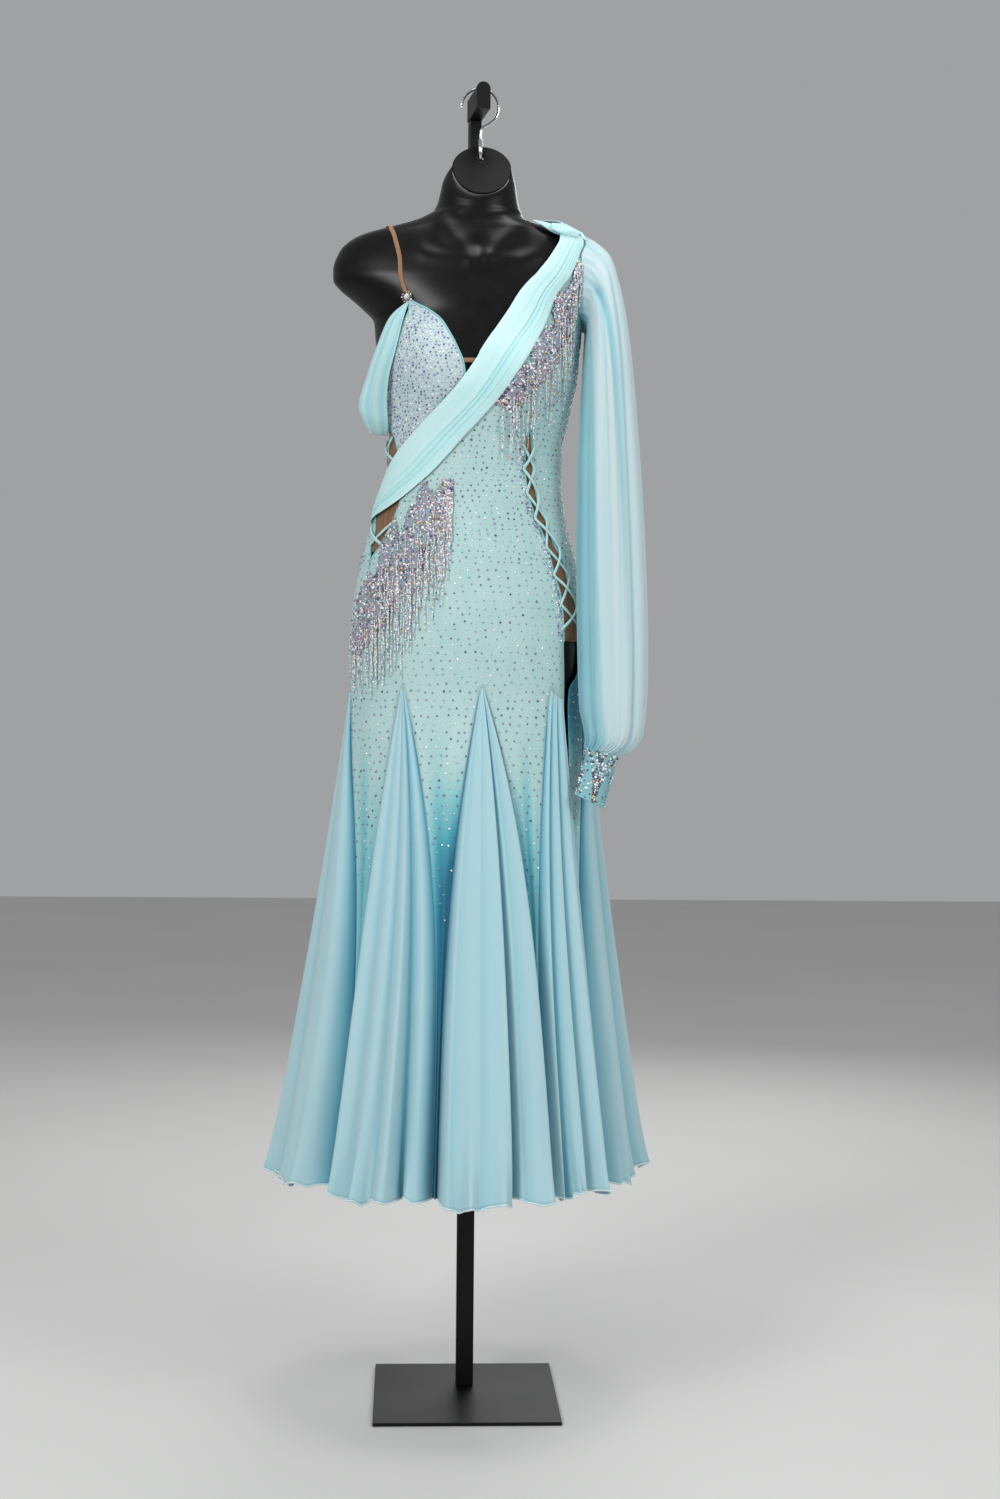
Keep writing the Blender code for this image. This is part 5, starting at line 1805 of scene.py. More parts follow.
@dataclass
class ShoulderLoop:
    """The chiffon loop over the left shoulder, which joins the front to the back."""

    material: bpy.types.Material
    turns: tuple[float, float] = (58.0, 119.0)
    crest: tuple[float, float] = (91.0, 144.0)
    ends: tuple[float, float] = (115.0, 150.0)
    lifts: tuple[float, float] = (6.4, 11.2)
    behind: tuple[float, float] = (134.0, 120.0)
    search: tuple[float, float] = (1612.0, 1688.0)
    halvings: int = 30
    columns: int = 48
    rows: int = 60

    def ripple(self, across: Array, up: Array) -> Array:
        """The gathers' height, from -1 to 1."""
        return np.cos(across * 10 * np.pi + 1.5 * up)

    def place(self, across: Array, up: Array) -> Array:
        """Points of the loop, found by their place along X on the shoulder."""
        turn = mix(self.turns[0], self.turns[1], up)
        aside = (2 * up - 1) ** 2
        x = mix(mix(self.crest[0], self.ends[0], aside), mix(self.crest[1], self.ends[1], aside),
                across)
        low, high = (np.full_like(x, bound) for bound in self.search)
        for _ in range(self.halvings):
            middle = (low + high) / 2
            wide = on_form(turn, middle)[..., 0] > x
            low, high = np.where(wide, middle, low), np.where(wide, high, middle)
        ridge = self.ripple(across, up) * (0.6 + 0.4 * aside)
        loop = skin(turn, low, mix(self.lifts[0], self.lifts[1], aside) + ridge)
        behind = skin(mix(self.behind[0], self.behind[1], across), SHOULDER - 5,
                      PANEL_LIFT + 2.4 + 0.4 * ridge)
        return mix(loop, behind, ease(0.74, 1.0, up)[..., None])

    def depth(self, across: Array, up: Array) -> Array:
        """Painted shade, deeper in the grooves."""
        return 0.24 * (0.5 - 0.5 * self.ripple(across, up))

    def roll(self, name: str, line: Sequence[tuple[float, float]], wide: Sequence[float],
             thick: float, lift: float) -> bpy.types.Object:
        """A gathered roll of chiffon on the front of the shoulder.

        Args:
            name: The name of the piece.
            line: The places of x and z that it runs through.
            wide: Half its width at stations along it, in millimetres.
            thick: Half its thickness where it is widest.
            lift: Its distance from the form.

        Returns:
            The piece.
        """
        share = np.linspace(0, 1, 40)
        spots = follow(np.array(line, dtype=float), share)
        angle = angle_at(spots[:, 0], spots[:, 1], lift)
        girth = follow(np.array(wide, dtype=float), share)

        def folds(across: Array, up: Array) -> Array:
            """Painted shade, deeper between the gathers."""
            return 0.2 - 0.2 * np.cos(2 * np.pi * (4 * across + 1.5 * up))
        patch = tube(skin(angle, spots[:, 1], lift), outward(angle, spots[:, 1]), girth,
                     thick * girth / max(wide), 24, {"depth": folds})
        return shown(joined(name, [patch]), self.material)

    def build(self) -> None:
        """Makes the loop, the knot over the sash's end and the twisted tip beside it."""
        patch = Patch(self.columns, self.rows, self.place, {"depth": self.depth})
        item = joined("shoulder_loop_chiffon", [patch])
        knot = self.roll("shoulder_knot", ((110, 1655), (122, 1652), (135, 1650), (149, 1646)),
                         (6.0, 9.5, 10.0, 6.0), 5.0, 12.0)
        tip = self.roll("shoulder_tip", ((134, 1651), (117, 1655), (101, 1661), (83, 1667)),
                        (10.0, 9.0, 6.0, 1.2), 4.5, 6.0)
        clothed(item, Sheet(0.16, Held.DRAPED, "torso_form", CHIFFON_WALL), self.material,
                "shoulder_loop")


class Ring(NamedTuple):
    """A ring of the sleeve: its inner and outer end, its middle and half depth, and its fold."""

    inner_x: float
    inner_z: float
    outer_x: float
    outer_z: float
    middle: float
    half_depth: float
    fold: float


SLEEVE = (
    Ring(161, 1530, 154, 1661, -4, 58, 0), Ring(158, 1512, 176, 1647, -10, 58, 1),
    Ring(156, 1495, 193, 1628, -18, 56, 1.5), Ring(154, 1468, 203, 1594, -28, 54, 2.5),
    Ring(152, 1437, 211, 1552, -38, 51, 3), Ring(150, 1395, 219, 1487, -48, 47, 3.5),
    Ring(148, 1320, 229, 1362, -58, 42, 3.5), Ring(147, 1215, 237, 1235, -66, 39, 3.5),
    Ring(148, 1110, 242, 1118, -70, 38, 3.5), Ring(150, 1030, 243, 1032, -73, 38, 3.5),
    Ring(152, 985, 241, 982, -75, 37, 3.5), Ring(157, 958, 237, 950, -78, 33, 3),
    Ring(160, 942, 225, 930, -80, 28, 2), Ring(158, 931, 205, 919, -82, 21, 0.5),
)
CUFF = (
    Ring(157.6, 930.2, 204.4, 918.2, -82.3, 20.6, 0), Ring(149.5, 896.8, 192, 879.8, -97, 18, 0),
    Ring(142.5, 866.8, 182.5, 847.8, -111, 16.5, 0),
)


def ring_point(rings: Sequence[Ring], share: Array, turn: Array, wave: Array) -> Array:
    """Points on a tube through rings.

    Args:
        rings: The rings, from the top.
        share: How far along them, from 0 to 1.
        turn: The way round, from the front towards the outer side.
        wave: How far the cloth stands out there.

    Returns:
        The points, in millimetres.
    """
    values = {name: along(rings, name, share) for name in Ring._fields}
    zero = np.zeros_like(share)
    inner = np.stack((values["inner_x"], zero, values["inner_z"]), axis=-1)
    outer = np.stack((values["outer_x"], zero, values["outer_z"]), axis=-1)
    reach = (outer - inner) / 2
    grow = (1 + wave / np.linalg.norm(reach, axis=-1))[..., None]
    point = (inner + outer) / 2 + reach * np.sin(turn)[..., None] * grow
    point[..., 1] = values["middle"] - values["half_depth"] * np.cos(turn) * grow[..., 0]
    return point


@dataclass
class SleeveCloth:
    """The bishop sleeve, gathered at the armhole and at the cuff."""

    material: bpy.types.Material
    columns: int = 180
    rows: int = 170
    deep: float = 1.15
    seam_lift: float = 6.6
    wall: float = 0.5

    def folds(self, across: Array, up: Array) -> Array:
        """The folds' height, from about -1 in a crease to 1 on a broad plane."""
        turn = 2 * np.pi * across
        share = 1 - up
        broad = 2 * np.abs(np.sin(3.5 * turn + 0.5 * np.sin(3 * share) + 0.9 * np.sin(turn))) ** 0.6 - 1
        small = 2 * np.abs(np.sin(6 * turn + 1.1 + 0.9 * share + 0.7 * np.sin(2 * turn))) ** 0.7 - 1
        drift = np.cos(4 * turn - 0.7 + 0.8 * share)
        return (0.9 * broad + 0.45 * small + 0.35 * drift) / 1.5

    def gathers(self, across: Array, up: Array) -> Array:
        """The fine gathers at both ends."""
        turn = 2 * np.pi * across
        share = 1 - up
        top = np.cos(31 * turn + 0.5) * (1 - ease(0.0, 0.16, share))
        foot = np.cos(37 * turn + 2 * np.sin(3 * turn)) * ease(0.80, 0.97, share)
        return 0.9 * top + 1.5 * foot

    def groove(self, across: Array, up: Array) -> Array:
        """The long deep fold in front, under the shoulder."""
        share = 1 - up
        centre = 0.985 + 0.075 * ease(0.0, 0.5, share)
        away = (across - centre + 0.5) % 1.0 - 0.5
        return np.exp(-(away / 0.022) ** 2) * ease(0.02, 0.12, share) * (1 - ease(0.35, 0.75, share))

    def place(self, across: Array, up: Array) -> Array:
        """Points of the sleeve."""
        share = 1 - up
        depth = along(SLEEVE, "fold", share) * self.deep
        wave = (depth * self.folds(across, up) + self.gathers(across, up)
                - 5.5 * self.groove(across, up))
        turn = 2 * np.pi * across
        point = ring_point(SLEEVE, share, turn, wave)
        height = np.clip(ring_point(SLEEVE, 0 * share, turn, 0 * share)[..., 2], 1541, 1646)
        seam = np.where(np.cos(turn) > 0, read(LEFT_ARMHOLE, "angle", height) - 0.5,
                        read(BACK_LEFT_SIDE, "angle", height) + 0.5)
        beside = np.abs(np.cos(turn))
        under = np.sin(turn) < 0
        blend = ease(0.0, 0.45, beside)
        seam = np.where(under, mix(90.0, seam, blend), seam)
        height = np.where(under, mix(1524.0, height, blend), height)
        closing = (1 - ease(0.0, 0.05, share)) * np.where(under, 1.0, ease(0.12, 0.5, beside))
        return mix(point, skin(seam, height, self.seam_lift), closing[..., None])

    def depth(self, across: Array, up: Array) -> Array:
        """Painted shade: deeper in the folds, the long groove and the gathers at both ends, and on the
        inner side where the sleeve meets the body; partly the real deepening of the layered chiffon.
        """
        bound = mix(0.865, 0.965, (1 - up) ** 0.8)
        plane = ease(bound + 0.008, bound - 0.012, across) * ease(0.68, 0.78, across)
        inner = 0.5 * plane + 0.4 * np.exp(-(((across - 0.80) / 0.05) ** 2))
        fold = 0.5 - 0.5 * np.clip(self.folds(across, up), -1, 1)
        gather = 0.5 - 0.3 * self.gathers(across, up)
        ends = (1 - ease(0.0, 0.1, 1 - up)) + ease(0.86, 0.97, 1 - up)
        return (0.05 + 0.32 * fold ** 1.6 + 0.8 * inner + 0.55 * self.groove(across, up)
                + 0.25 * gather * ends)

    def build(self) -> None:
        """Makes the sleeve."""
        patch = Patch(self.columns, self.rows, self.place, {"depth": self.depth})
        item = joined("left_sleeve_chiffon", [patch])
        clothed(item, Sheet(0.70, Held.GATHERED, "left_cuff_cloth", self.wall), self.material,
                "left_sleeve")


@dataclass
class CuffCloth:
    """The beaded cuff, with its curved lines of stones."""

    cloth: Stretch = Stretch("cuff_cloth", tone(122, 176, 182), tone(104, 160, 168))
    wall: float = 1.6
    columns: int = 72
    rows: int = 36
    binding: float = 1.2
    lines: tuple[tuple[float, float], ...] = (
        (-0.16, 0.05), (-0.05, 0.02), (0.03, -0.02), (0.13, -0.05), (0.22, -0.06), (0.36, 0.03),
        (0.5, 0.0), (0.64, -0.03), (0.76, 0.04))
    steps: int = 22
    scattered: int = 150

    def place(self, across: Array, up: Array) -> Array:
        """Points of the cuff."""
        return ring_point(CUFF, 1 - up, 2 * np.pi * across, 0 * across)

    def build(self) -> None:
        """Makes the cuff and its stones."""
        item = joined("left_cuff_cloth", [Patch(self.columns, self.rows, self.place)])
        material = self.cloth.material()
        share = np.linspace(0, 1, self.columns + 1)
        bindings = []
        for end in (0.0, 1.0):
            line = self.place(share, np.full_like(share, end))
            up = np.tile([[0.3, -0.2, 1.0]], (len(line), 1))
            bindings.append(tube(line, up, self.binding, self.binding, 6, {"edge": plain(1.0)}))
        binding = shown(joined("cuff_binding", bindings), material)
        clothed(item, Sheet(0.08, Held.STRETCHED, "left_sleeve_chiffon", self.wall), material,
                "left_cuff")
        self.stones()

    def stones(self) -> None:
        """Curved lines of stones that meet at the cuff's foot, and a scatter between them."""
        dice = np.random.default_rng(41)
        across, up, size = [], [], []
        for start, bend in self.lines:
            foot = 0.02 if start < 0.3 else start
            for step in np.linspace(0.02, 0.98, self.steps):
                for offset in (-0.010, 0.010):
                    path = mix(foot, start, step) + bend * math.sin(math.pi * step)
                    across.append(path + offset * (0.6 + 0.5 * step))
                    up.append(step)
                    size.append(dice.uniform(1.3, 2.3))
        for _ in range(self.scattered):
            across.append(dice.uniform(0, 1))
            up.append(dice.uniform(0.03, 0.97))
            size.append(dice.uniform(0.9, 2.0))
        around, rise = np.array(across) % 1.0, np.clip(np.array(up), 0.02, 0.98)
        points = self.place(around, rise)
        near = self.place(around + 0.004, rise) - self.place(around - 0.004, rise)
        tall = self.place(around, np.minimum(rise + 0.02, 1)) - self.place(around, rise - 0.02)
        item = Scatter("cuff_stones", 42).build(points, np.cross(near, tall), np.array(size))
        shown(item, Crystal(Cut.CUFF).material())


class Drape(NamedTuple):
    """A station of the armlet: its inner and outer edge, and its bulge."""

    inner: tuple[float, float, float]
    outer: tuple[float, float, float]
    bulge: float


ARMLET = (
    Drape((-93.6, -85.6, 1546), (-99.1, -82.9, 1545), 0),
    Drape((-102, -84, 1516), (-122, -66, 1527), 3),
    Drape((-110, -80, 1482), (-141, -54, 1483), 5), Drape((-119, -66, 1448), (-153, -47, 1447), 6),
    Drape((-122, -52, 1416), (-163, -38, 1412), 6), Drape((-121, -40, 1388), (-157, -26, 1391), 6),
    Drape((-122, -18, 1371), (-147, -10, 1377), 5), Drape((-130, 8, 1376), (-152, 8, 1389), 5),
    Drape((-127, 17, 1379), (-138, 21, 1396), 2), Drape((-118, 22.5, 1381), (-116, 27.5, 1399), 0),
)


@dataclass
class ArmletCloth:
    """The chiffon armlet, which hangs from the jewel, under the arm's place, to the back."""

    material: bpy.types.Material
    columns: int = 44
    rows: int = 110

    def pleat(self, across: Array, up: Array) -> Array:
        """The soft pleats, which meet at the jewel."""
        fade = np.clip(np.minimum(10 * up, 10 - 10 * up), 0, 1)
        return (np.cos(across * 5 * np.pi + 2.2 * up) + 0.5 * np.cos(across * 9 * np.pi - 3 * up)) * fade

    def place(self, across: Array, up: Array) -> Array:
        """Points of the armlet."""
        point = mix(along(ARMLET, "inner", up), along(ARMLET, "outer", up), across[..., None])
        belly = np.sin(np.pi * across) * along(ARMLET, "bulge", up) + 0.8 * self.pleat(across, up)
        side = unit(np.stack((-0.75 + 0 * up, -0.6 * np.cos(np.pi * up),
                              -0.3 * np.sin(np.pi * up)), axis=-1))
        return point + side * belly[..., None]

    def depth(self, across: Array, up: Array) -> Array:
        """Painted shade, deeper in the grooves."""
        return 0.08 + 0.13 * (1 - self.pleat(across, up))

    def build(self) -> None:
        """Makes the armlet, whose rows run down from the jewel."""
        patch = Patch(self.columns, self.rows, self.place, {"depth": self.depth})
        item = joined("right_armlet_chiffon", [patch])
        clothed(item, Sheet(0.28, Held.DRAPED, "jewel_stone", CHIFFON_WALL), self.material,
                "right_armlet")


STRAP = (
    Edge(1554, -35.4), Edge(1600, -30.5), Edge(1634, -34.7), Edge(1652, -42.2), Edge(1662, -57),
    Edge(1666, -78), Edge(1666.5, -92), Edge(1664.5, -106), Edge(1660, -116),
)
STRAP_END = Edge(1411, -109)
BRIDGE = (Edge(1461, -10.3), Edge(1462, 0), Edge(1463, 10.6))


@dataclass
class Straps:
    """The elastic strap over the right shoulder, the bridge of the V, and the jewel."""

    finish: Elastic = Elastic()
    strap_lift: float = 1.6
    strap_wide: float = 3.1
    foot_lift: float = 6.2
    easing: int = 6
    bridge_wide: float = 3.3
    thick: float = 0.6
    jewel_angle: float = -35.6
    jewel_height: float = 1554.5
    jewel_radius: float = 7.0
    jewel_lift: float = 3.0
    ring_stones: int = 12
    ring_radius: float = 1.7

    def build(self) -> None:
        """Makes the strap, the bridge and the jewel."""
        material = self.finish.material()
        share = np.linspace(0, 1, 70)
        angle, height = along(STRAP, "angle", share), along(STRAP, "height", share)
        path = skin(angle, height, self.strap_lift)
        for _ in range(self.easing):
            path = smoothed(path)
        end = np.array([STRAP_END.angle]), np.array([STRAP_END.height])
        run = np.linspace(0, 1, 31)[1:, None]
        path = np.concatenate((path, mix(path[-1:], skin(*end, self.foot_lift), run)))
        up = np.concatenate((outward(angle, height), np.repeat(outward(*end), len(run), axis=0)))
        strap = joined("right_strap_elastic", [tube(path, up, self.strap_wide, self.thick, 10)])
        shown(strap, material, ["right_strap"])
        share = np.linspace(0, 1, 20)
        angle, height = along(BRIDGE, "angle", share), along(BRIDGE, "height", share)
        patch = tube(skin(angle, height, PANEL_LIFT - self.thick), outward(angle, height),
                     self.bridge_wide, self.thick, 10)
        shown(joined("bridge_band", [patch]), material, ["bridge_elastic"])
        self.jewel()

    def jewel(self) -> None:
        """A faceted crystal in a ring of small ones."""
        angle, height = np.array([self.jewel_angle]), np.array([self.jewel_height])
        centre = skin(angle, height, self.jewel_lift)[0]
        facing = outward(angle, height)[0]
        side = np.cross([0.0, 0.0, 1.0], facing)
        side /= np.linalg.norm(side)
        top = np.cross(facing, side)
        bm = bmesh.new()
        bmesh.ops.create_cone(bm, cap_ends=True, segments=8, radius1=0.72, radius2=0.38,
                              depth=0.5)
        bmesh.ops.subdivide_edges(bm, edges=bm.edges, cuts=1, smooth=0.4)
        bmesh.ops.triangulate(bm, faces=bm.faces)
        for vert in bm.verts:
            flat = vert.co.copy()
            point = (centre + facing * (flat.z + 0.35) * self.jewel_radius
                     + side * flat.x * self.jewel_radius + top * flat.y * self.jewel_radius)
            vert.co = Vector(point) * MM
        bmesh.ops.recalc_face_normals(bm, faces=bm.faces)
        mesh = mesh_of(bm, "jewel_stone")
        # Each point of the jewel gets a random tint, so its facets show painted glints of white, gold
        # and rose.
        mark_points(mesh, "tint", np.random.default_rng(5).uniform(0, 1, len(mesh.vertices)))
        shown(linked("jewel_stone", mesh), Crystal(Cut.JEWEL).material(), ["jewel"])
        turn = np.linspace(0, 2 * np.pi, self.ring_stones, endpoint=False)
        ring = (centre + facing * 1.5 + self.jewel_radius * (
            np.cos(turn)[:, None] * side + np.sin(turn)[:, None] * top))
        beads = Scatter("jewel_ring", 6).build(ring, np.repeat([facing], self.ring_stones, axis=0),
                                               np.full(self.ring_stones, self.ring_radius))
        shown(beads, Crystal(Cut.SILVER).material())


class Band(NamedTuple):
    """A station of an applique band, and the length of its strands."""

    upper_angle: float
    upper_height: float
    lower_angle: float
    lower_height: float
    length: float


HIP_BAND = (
    Band(-13.5, 1286, -12, 1262, 84), Band(-19.5, 1296, -16.5, 1244, 120),
    Band(-32, 1272, -24, 1196, 120), Band(-42, 1244, -30, 1160, 124),
    Band(-49.5, 1216, -38, 1136, 122), Band(-58.5, 1178, -46, 1110, 104),
    Band(-67, 1135, -56, 1082, 84), Band(-82, 1084, -72, 1050, 58),
)
BUST_BAND = (
    Band(46.5, 1614, 49.5, 1608, 30), Band(46, 1588, 51, 1582, 60), Band(45, 1556, 57, 1546, 95),
    Band(43.5, 1528, 59, 1510, 95), Band(35.5, 1492, 48, 1468, 80), Band(26, 1458, 37.5, 1441, 70),
    Band(17, 1430, 28, 1418, 80), Band(9, 1408, 18, 1396, 78),
)


@dataclass
class Fringe:
    """An applique of packed stones, and the bead strands that hang from it."""

    name: str
    node: str
    band: tuple[Band, ...]
    lift: float
    strands: int
    seed: int
    stones: int
    bead: float = 1.0
    wall: float = 0.6

    @staticmethod
    def leaf(share: Array) -> Array:
        """How far the band's leafy edge stands out."""
        return 0.16 * np.sin(23 * share + 1.0) + 0.10 * np.sin(51 * share)

    def edge_point(self, share: Array, up: Array) -> tuple[Array, Array]:
        """A place on the band.

        Args:
            share: How far along it, from 0 to 1.
            up: How far up it.

        Returns:
            The angle and the height.
        """
        values = {name: along(self.band, name, share) for name in Band._fields}
        return (mix(values["lower_angle"], values["upper_angle"], up),
                mix(values["lower_height"], values["upper_height"], up))

    def build(self, materials: dict[Cut, bpy.types.Material], cloth: bpy.types.Material) -> None:
        """Makes the lace, its stones and its strands.

        Args:
            materials: The crystals' materials by their mix.
            cloth: The lace's material.
        """
        def place(across: Array, up: Array) -> Array:
            """Points of the lace, with leafy edges."""
            leaf = self.leaf(across)
            angle, height = self.edge_point(across, mix(-0.06 + leaf * 0.6, 1.05 + leaf, up))
            return skin(angle, height, self.lift - 1.3 + 0.4 * np.sin(9 * up + 31 * across))

        lace = joined(f"{self.name}_lace", [Patch(90, 20, place, {"depth": plain(0.15)})])
        clothed(lace, Sheet(0.30, Held.LAID, "front_panel_cloth", self.wall), cloth,
                self.node)
        dice = np.random.default_rng(self.seed)
        share = dice.uniform(0, 1, self.stones)
        up = dice.uniform(-0.10, 1.12, self.stones)
        up = up + self.leaf(share) * up
        angle, height = self.edge_point(share, up)
        points = skin(angle, height, self.lift - 0.9)
        radii = dice.choice([1.0, 1.3, 1.8, 2.6], self.stones, p=[0.4, 0.32, 0.2, 0.08])
        tilt = outward(angle, height) + dice.normal(0, 0.16, (self.stones, 3))
        gems = Scatter(f"{self.name}_stones", self.seed + 1).build(points, tilt, radii)
        shown(gems, materials[Cut.SILVER])
        self.hang(dice, materials[Cut.STRAND])

    def hang(self, dice: np.random.Generator, material: bpy.types.Material) -> None:
        """The strands of small beads, which hang straight down the body.

        Args:
            dice: The source of their starts and lengths.
            material: Their material.
        """
        centres, normals, stretch, sizes = [], [], [], []
        for number in range(self.strands):
            share = (number + 0.5) / self.strands
            up = float(dice.choice([0.0, 0.0, 0.12, 0.45, 0.7]))
            angle, height = self.edge_point(np.array([share]), np.array([up]))
            length = along(self.band, "length", np.array([share]))[0] * dice.uniform(0.5, 1.05)
            root = skin(angle, height, self.lift)[0]
            step = 2.7 * self.bead / 1.25
            count = max(4, int(length / step))
            heights = root[2] - step * np.arange(count)
            sway = root[0] + 0.6 * np.sin(np.arange(count) * 0.31 + number)
            angles = angle_at(sway, heights, self.lift)
            spot = skin(angles, heights, self.lift + 0.6)
            spot[:, 0] = sway
            centres.append(spot)
            normals.append(outward(angles, heights))
            long = np.where(np.arange(count) % 5 == 4, 1.0, 1.5)
            stretch.append(long)
            sizes.append(np.where(np.arange(count) % 5 == 4, 1.25, 0.8) * self.bead)
        item = Scatter(f"{self.name}_strands", self.seed + 2, flat=False).build(
            np.concatenate(centres), np.concatenate(normals), np.concatenate(sizes),
            np.concatenate(stretch))
        shown(item, material)


@dataclass
class Stones:
    """The crystals set in staggered rows on the panels, the cup and the upper tails."""

    bodice: Bodice
    row: float = 9.0
    apart: float = 11.4
    cup_row: float = 4.8
    cup_apart: float = 5.5
    tail_row: float = 11.0
    wander: float = 2.3
    last_drop: float = 0.55
    margin: float = 3.0
    samples: int = 140

    def build(self) -> None:
        """Sets the stones."""
        body, cup = Crystal(Cut.BODY).material(), Crystal(Cut.CUP).material()
        dice = np.random.default_rng(11)
        right = self.clear_of_sash(RIGHT_SIDE)
        regions = (
            self.region(dice, 1018, 1180, right, HOLE_FRONT, 1.15 * self.row, 1.1 * self.apart),
            self.region(dice, 1184, HOLE_TOP - 4, right, HOLE_FRONT, 0.86 * self.row,
                        0.88 * self.apart),
            self.region(dice, 1100, HOLE_TOP - 4, HOLE_BACK, ARMHOLE, self.row, self.apart),
            self.region(dice, HOLE_TOP, 1640, right, ARMHOLE, 0.76 * self.row,
                        0.78 * self.apart),
        )
        self.set_on_form("front_stones", regions, body, (1.1, 1.9), 21)
        left, far = self.bodice.sides()
        back = self.region(dice, 1018, 1640, left, far, self.row, self.apart)
        self.set_on_form("back_stones", (back,), body, (1.1, 1.9), 22)
        cup_region = self.region(dice, CUP_SIDE[-1].height + 4, CUP_SIDE[0].height - 4,
                                 edge(CUP_SIDE), edge(CUP_NECKLINE), self.cup_row, self.cup_apart)
        self.set_on_form("cup_stones", (cup_region,), cup, (1.1, 2.0), 23)
        self.set_on_form("cutout_stones", (self.edge_lines(dice),), cup, (1.2, 1.9), 24)
        self.on_tails("front_tail_stones", self.bodice.front_tails(), body, dice, 25)
        self.on_tails("back_tail_stones", self.bodice.back_tails(), body, dice, 26)

    def clear_of_sash(self, rows: Mark) -> Mark:
        """An edge moved on to the sash's lower edge, where the sash covers it."""
        heights = column_of(SASH, "lower_height")[::-1]
        angles = column_of(SASH, "lower_angle")[::-1]

        def start(height: Array, _: Array) -> Array:
            """The angle where the cloth starts to show."""
            return np.maximum(rows(height, height), np.interp(height, heights, angles) + 0.8)
        return start

    def region(self, dice: np.random.Generator, low: float, high: float, left: Mark,
               right: Mark, row: float, apart: float) -> tuple[Array, Array]:
        """Staggered stones between two edges.

        Args:
            dice: The source of the stones' wander.
            low: The height of the lowest row.
            high: The height that the rows stay under.
            left: The edge at the lower angle.
            right: The edge at the higher angle.
            row: The distance between rows, in millimetres.
            apart: The distance between the stones of a row.

        Returns:
            The stones' angles and heights.
        """
        angles, heights = [], []
        for number, height in enumerate(np.arange(low, high, row)):
            fine = np.linspace(angle_on(left, height), angle_on(right, height), self.samples)
            line = on_form(fine, np.full_like(fine, height))
            steps = np.linalg.norm(np.diff(line, axis=0), axis=1)
            length = np.concatenate(([0.0], np.cumsum(steps)))
            first = self.margin + (0.5 * apart if number % 2 else 0.0)
            places = np.arange(first, length[-1] - self.margin, apart)
            wander = min(self.wander, 0.24 * row)
            places = places + dice.uniform(-wander, wander, len(places))
            angles.append(np.interp(places, length, fine))
            heights.append(height + dice.uniform(-wander, wander, len(places)))
        return np.concatenate(angles), np.concatenate(heights)

    def edge_lines(self, dice: np.random.Generator) -> tuple[Array, Array]:
        """Closer stones along the front edge of the left cut-out."""
        heights = np.repeat(np.arange(1082, 1370, 4.6), 3)
        inside = np.tile([1.6, 4.0, 7.5], len(heights) // 3) + dice.uniform(-1.5, 1.5, len(heights))
        heights = heights + dice.uniform(-2.3, 2.3, len(heights))
        return read(CUTOUT_FRONT, "angle", heights) - inside * 0.5, heights

    def set_on_form(self, name: str, regions: Sequence[tuple[Array, Array]],
                    material: bpy.types.Material, sizes: tuple[float, float], seed: int) -> None:
        """Sets stones on the panels.

        Args:
            name: The name of the piece.
            regions: The angles and heights of the stones.
            material: Their material.
            sizes: The smallest and the largest radius, in millimetres.
            seed: The seed of their sizes and tints.
        """
        angles = np.concatenate([part[0] for part in regions])
        heights = np.concatenate([part[1] for part in regions])
        radii = np.random.default_rng(seed).uniform(*sizes, len(angles))
        item = Scatter(name, seed).build(skin(angles, heights, PANEL_LIFT - 0.1),
                                         outward(angles, heights), radii)
        shown(item, material)

    def on_tails(self, name: str, tails: Sequence[Tail], material: bpy.types.Material,
                 dice: np.random.Generator, seed: int) -> None:
        """Sets stones down the tails, fewer and fewer towards the hem.

        Args:
            name: The name of the piece.
            tails: The tails to set them on.
            material: Their material.
            dice: The source of their wander.
            seed: The seed of their sizes and tints.
        """
        centres, normals = [], []
        small = 0.004
        for tail in tails:
            length = GODET_TOP - SKIRT.hem.height
            for number, below in enumerate(np.arange(6, self.last_drop * length, self.tail_row)):
                drop = below / length
                ends = tail.place(np.array([0.0, 1.0]), np.full(2, 1 - drop))
                width = np.linalg.norm(ends[1] - ends[0])
                count = int(width / self.apart)
                share = (np.arange(count) + 0.5 + 0.25 * (-1) ** number) / max(count, 1)
                share = share + dice.uniform(-0.25, 0.25, count) / max(count, 1)
                share = share[dice.uniform(0, 1, count) > ease(0.22, self.last_drop, drop)]
                share = np.clip(share, 0.04, 0.96)
                up = np.clip(1 - drop + dice.uniform(-0.003, 0.003, len(share)), 0, 1)
                around = tail.place(share + small, up) - tail.place(share - small, up)
                rise = tail.place(share, up + small) - tail.place(share, up - small)
                centres.append(tail.place(share, up))
                normals.append(np.cross(around, rise))
        points, facing = np.concatenate(centres), np.concatenate(normals)
        radii = np.random.default_rng(seed).uniform(1.4, 1.9, len(points))
        shown(Scatter(name, seed).build(points, facing, radii), material)


class Swell(NamedTuple):
    """A soft ridge or hollow of the form, along points of x and z in front."""

    points: tuple[tuple[float, float], ...]
    wide: float
    high: float


SWELLS = (
    Swell(((-98, 1626), (-50, 1612), (-9, 1608)), 12, 2.0),
    Swell(((98, 1624), (61, 1610), (19, 1609.5)), 12, 2.0),
    Swell(((-46, 1669), (-34, 1642), (-10, 1622)), 12, 2.0),
    Swell(((57, 1660), (38, 1638), (18, 1622)), 12, 2.0),
    Swell(((-6, 1605),), 9, 1.8),
    Swell(((15, 1611),), 9, 1.8),
    Swell(((2.4, 1631),), 13, -3.2),
    Swell(((-55, 1630),), 17, -1.8),
    Swell(((61, 1630),), 17, -1.8),
)


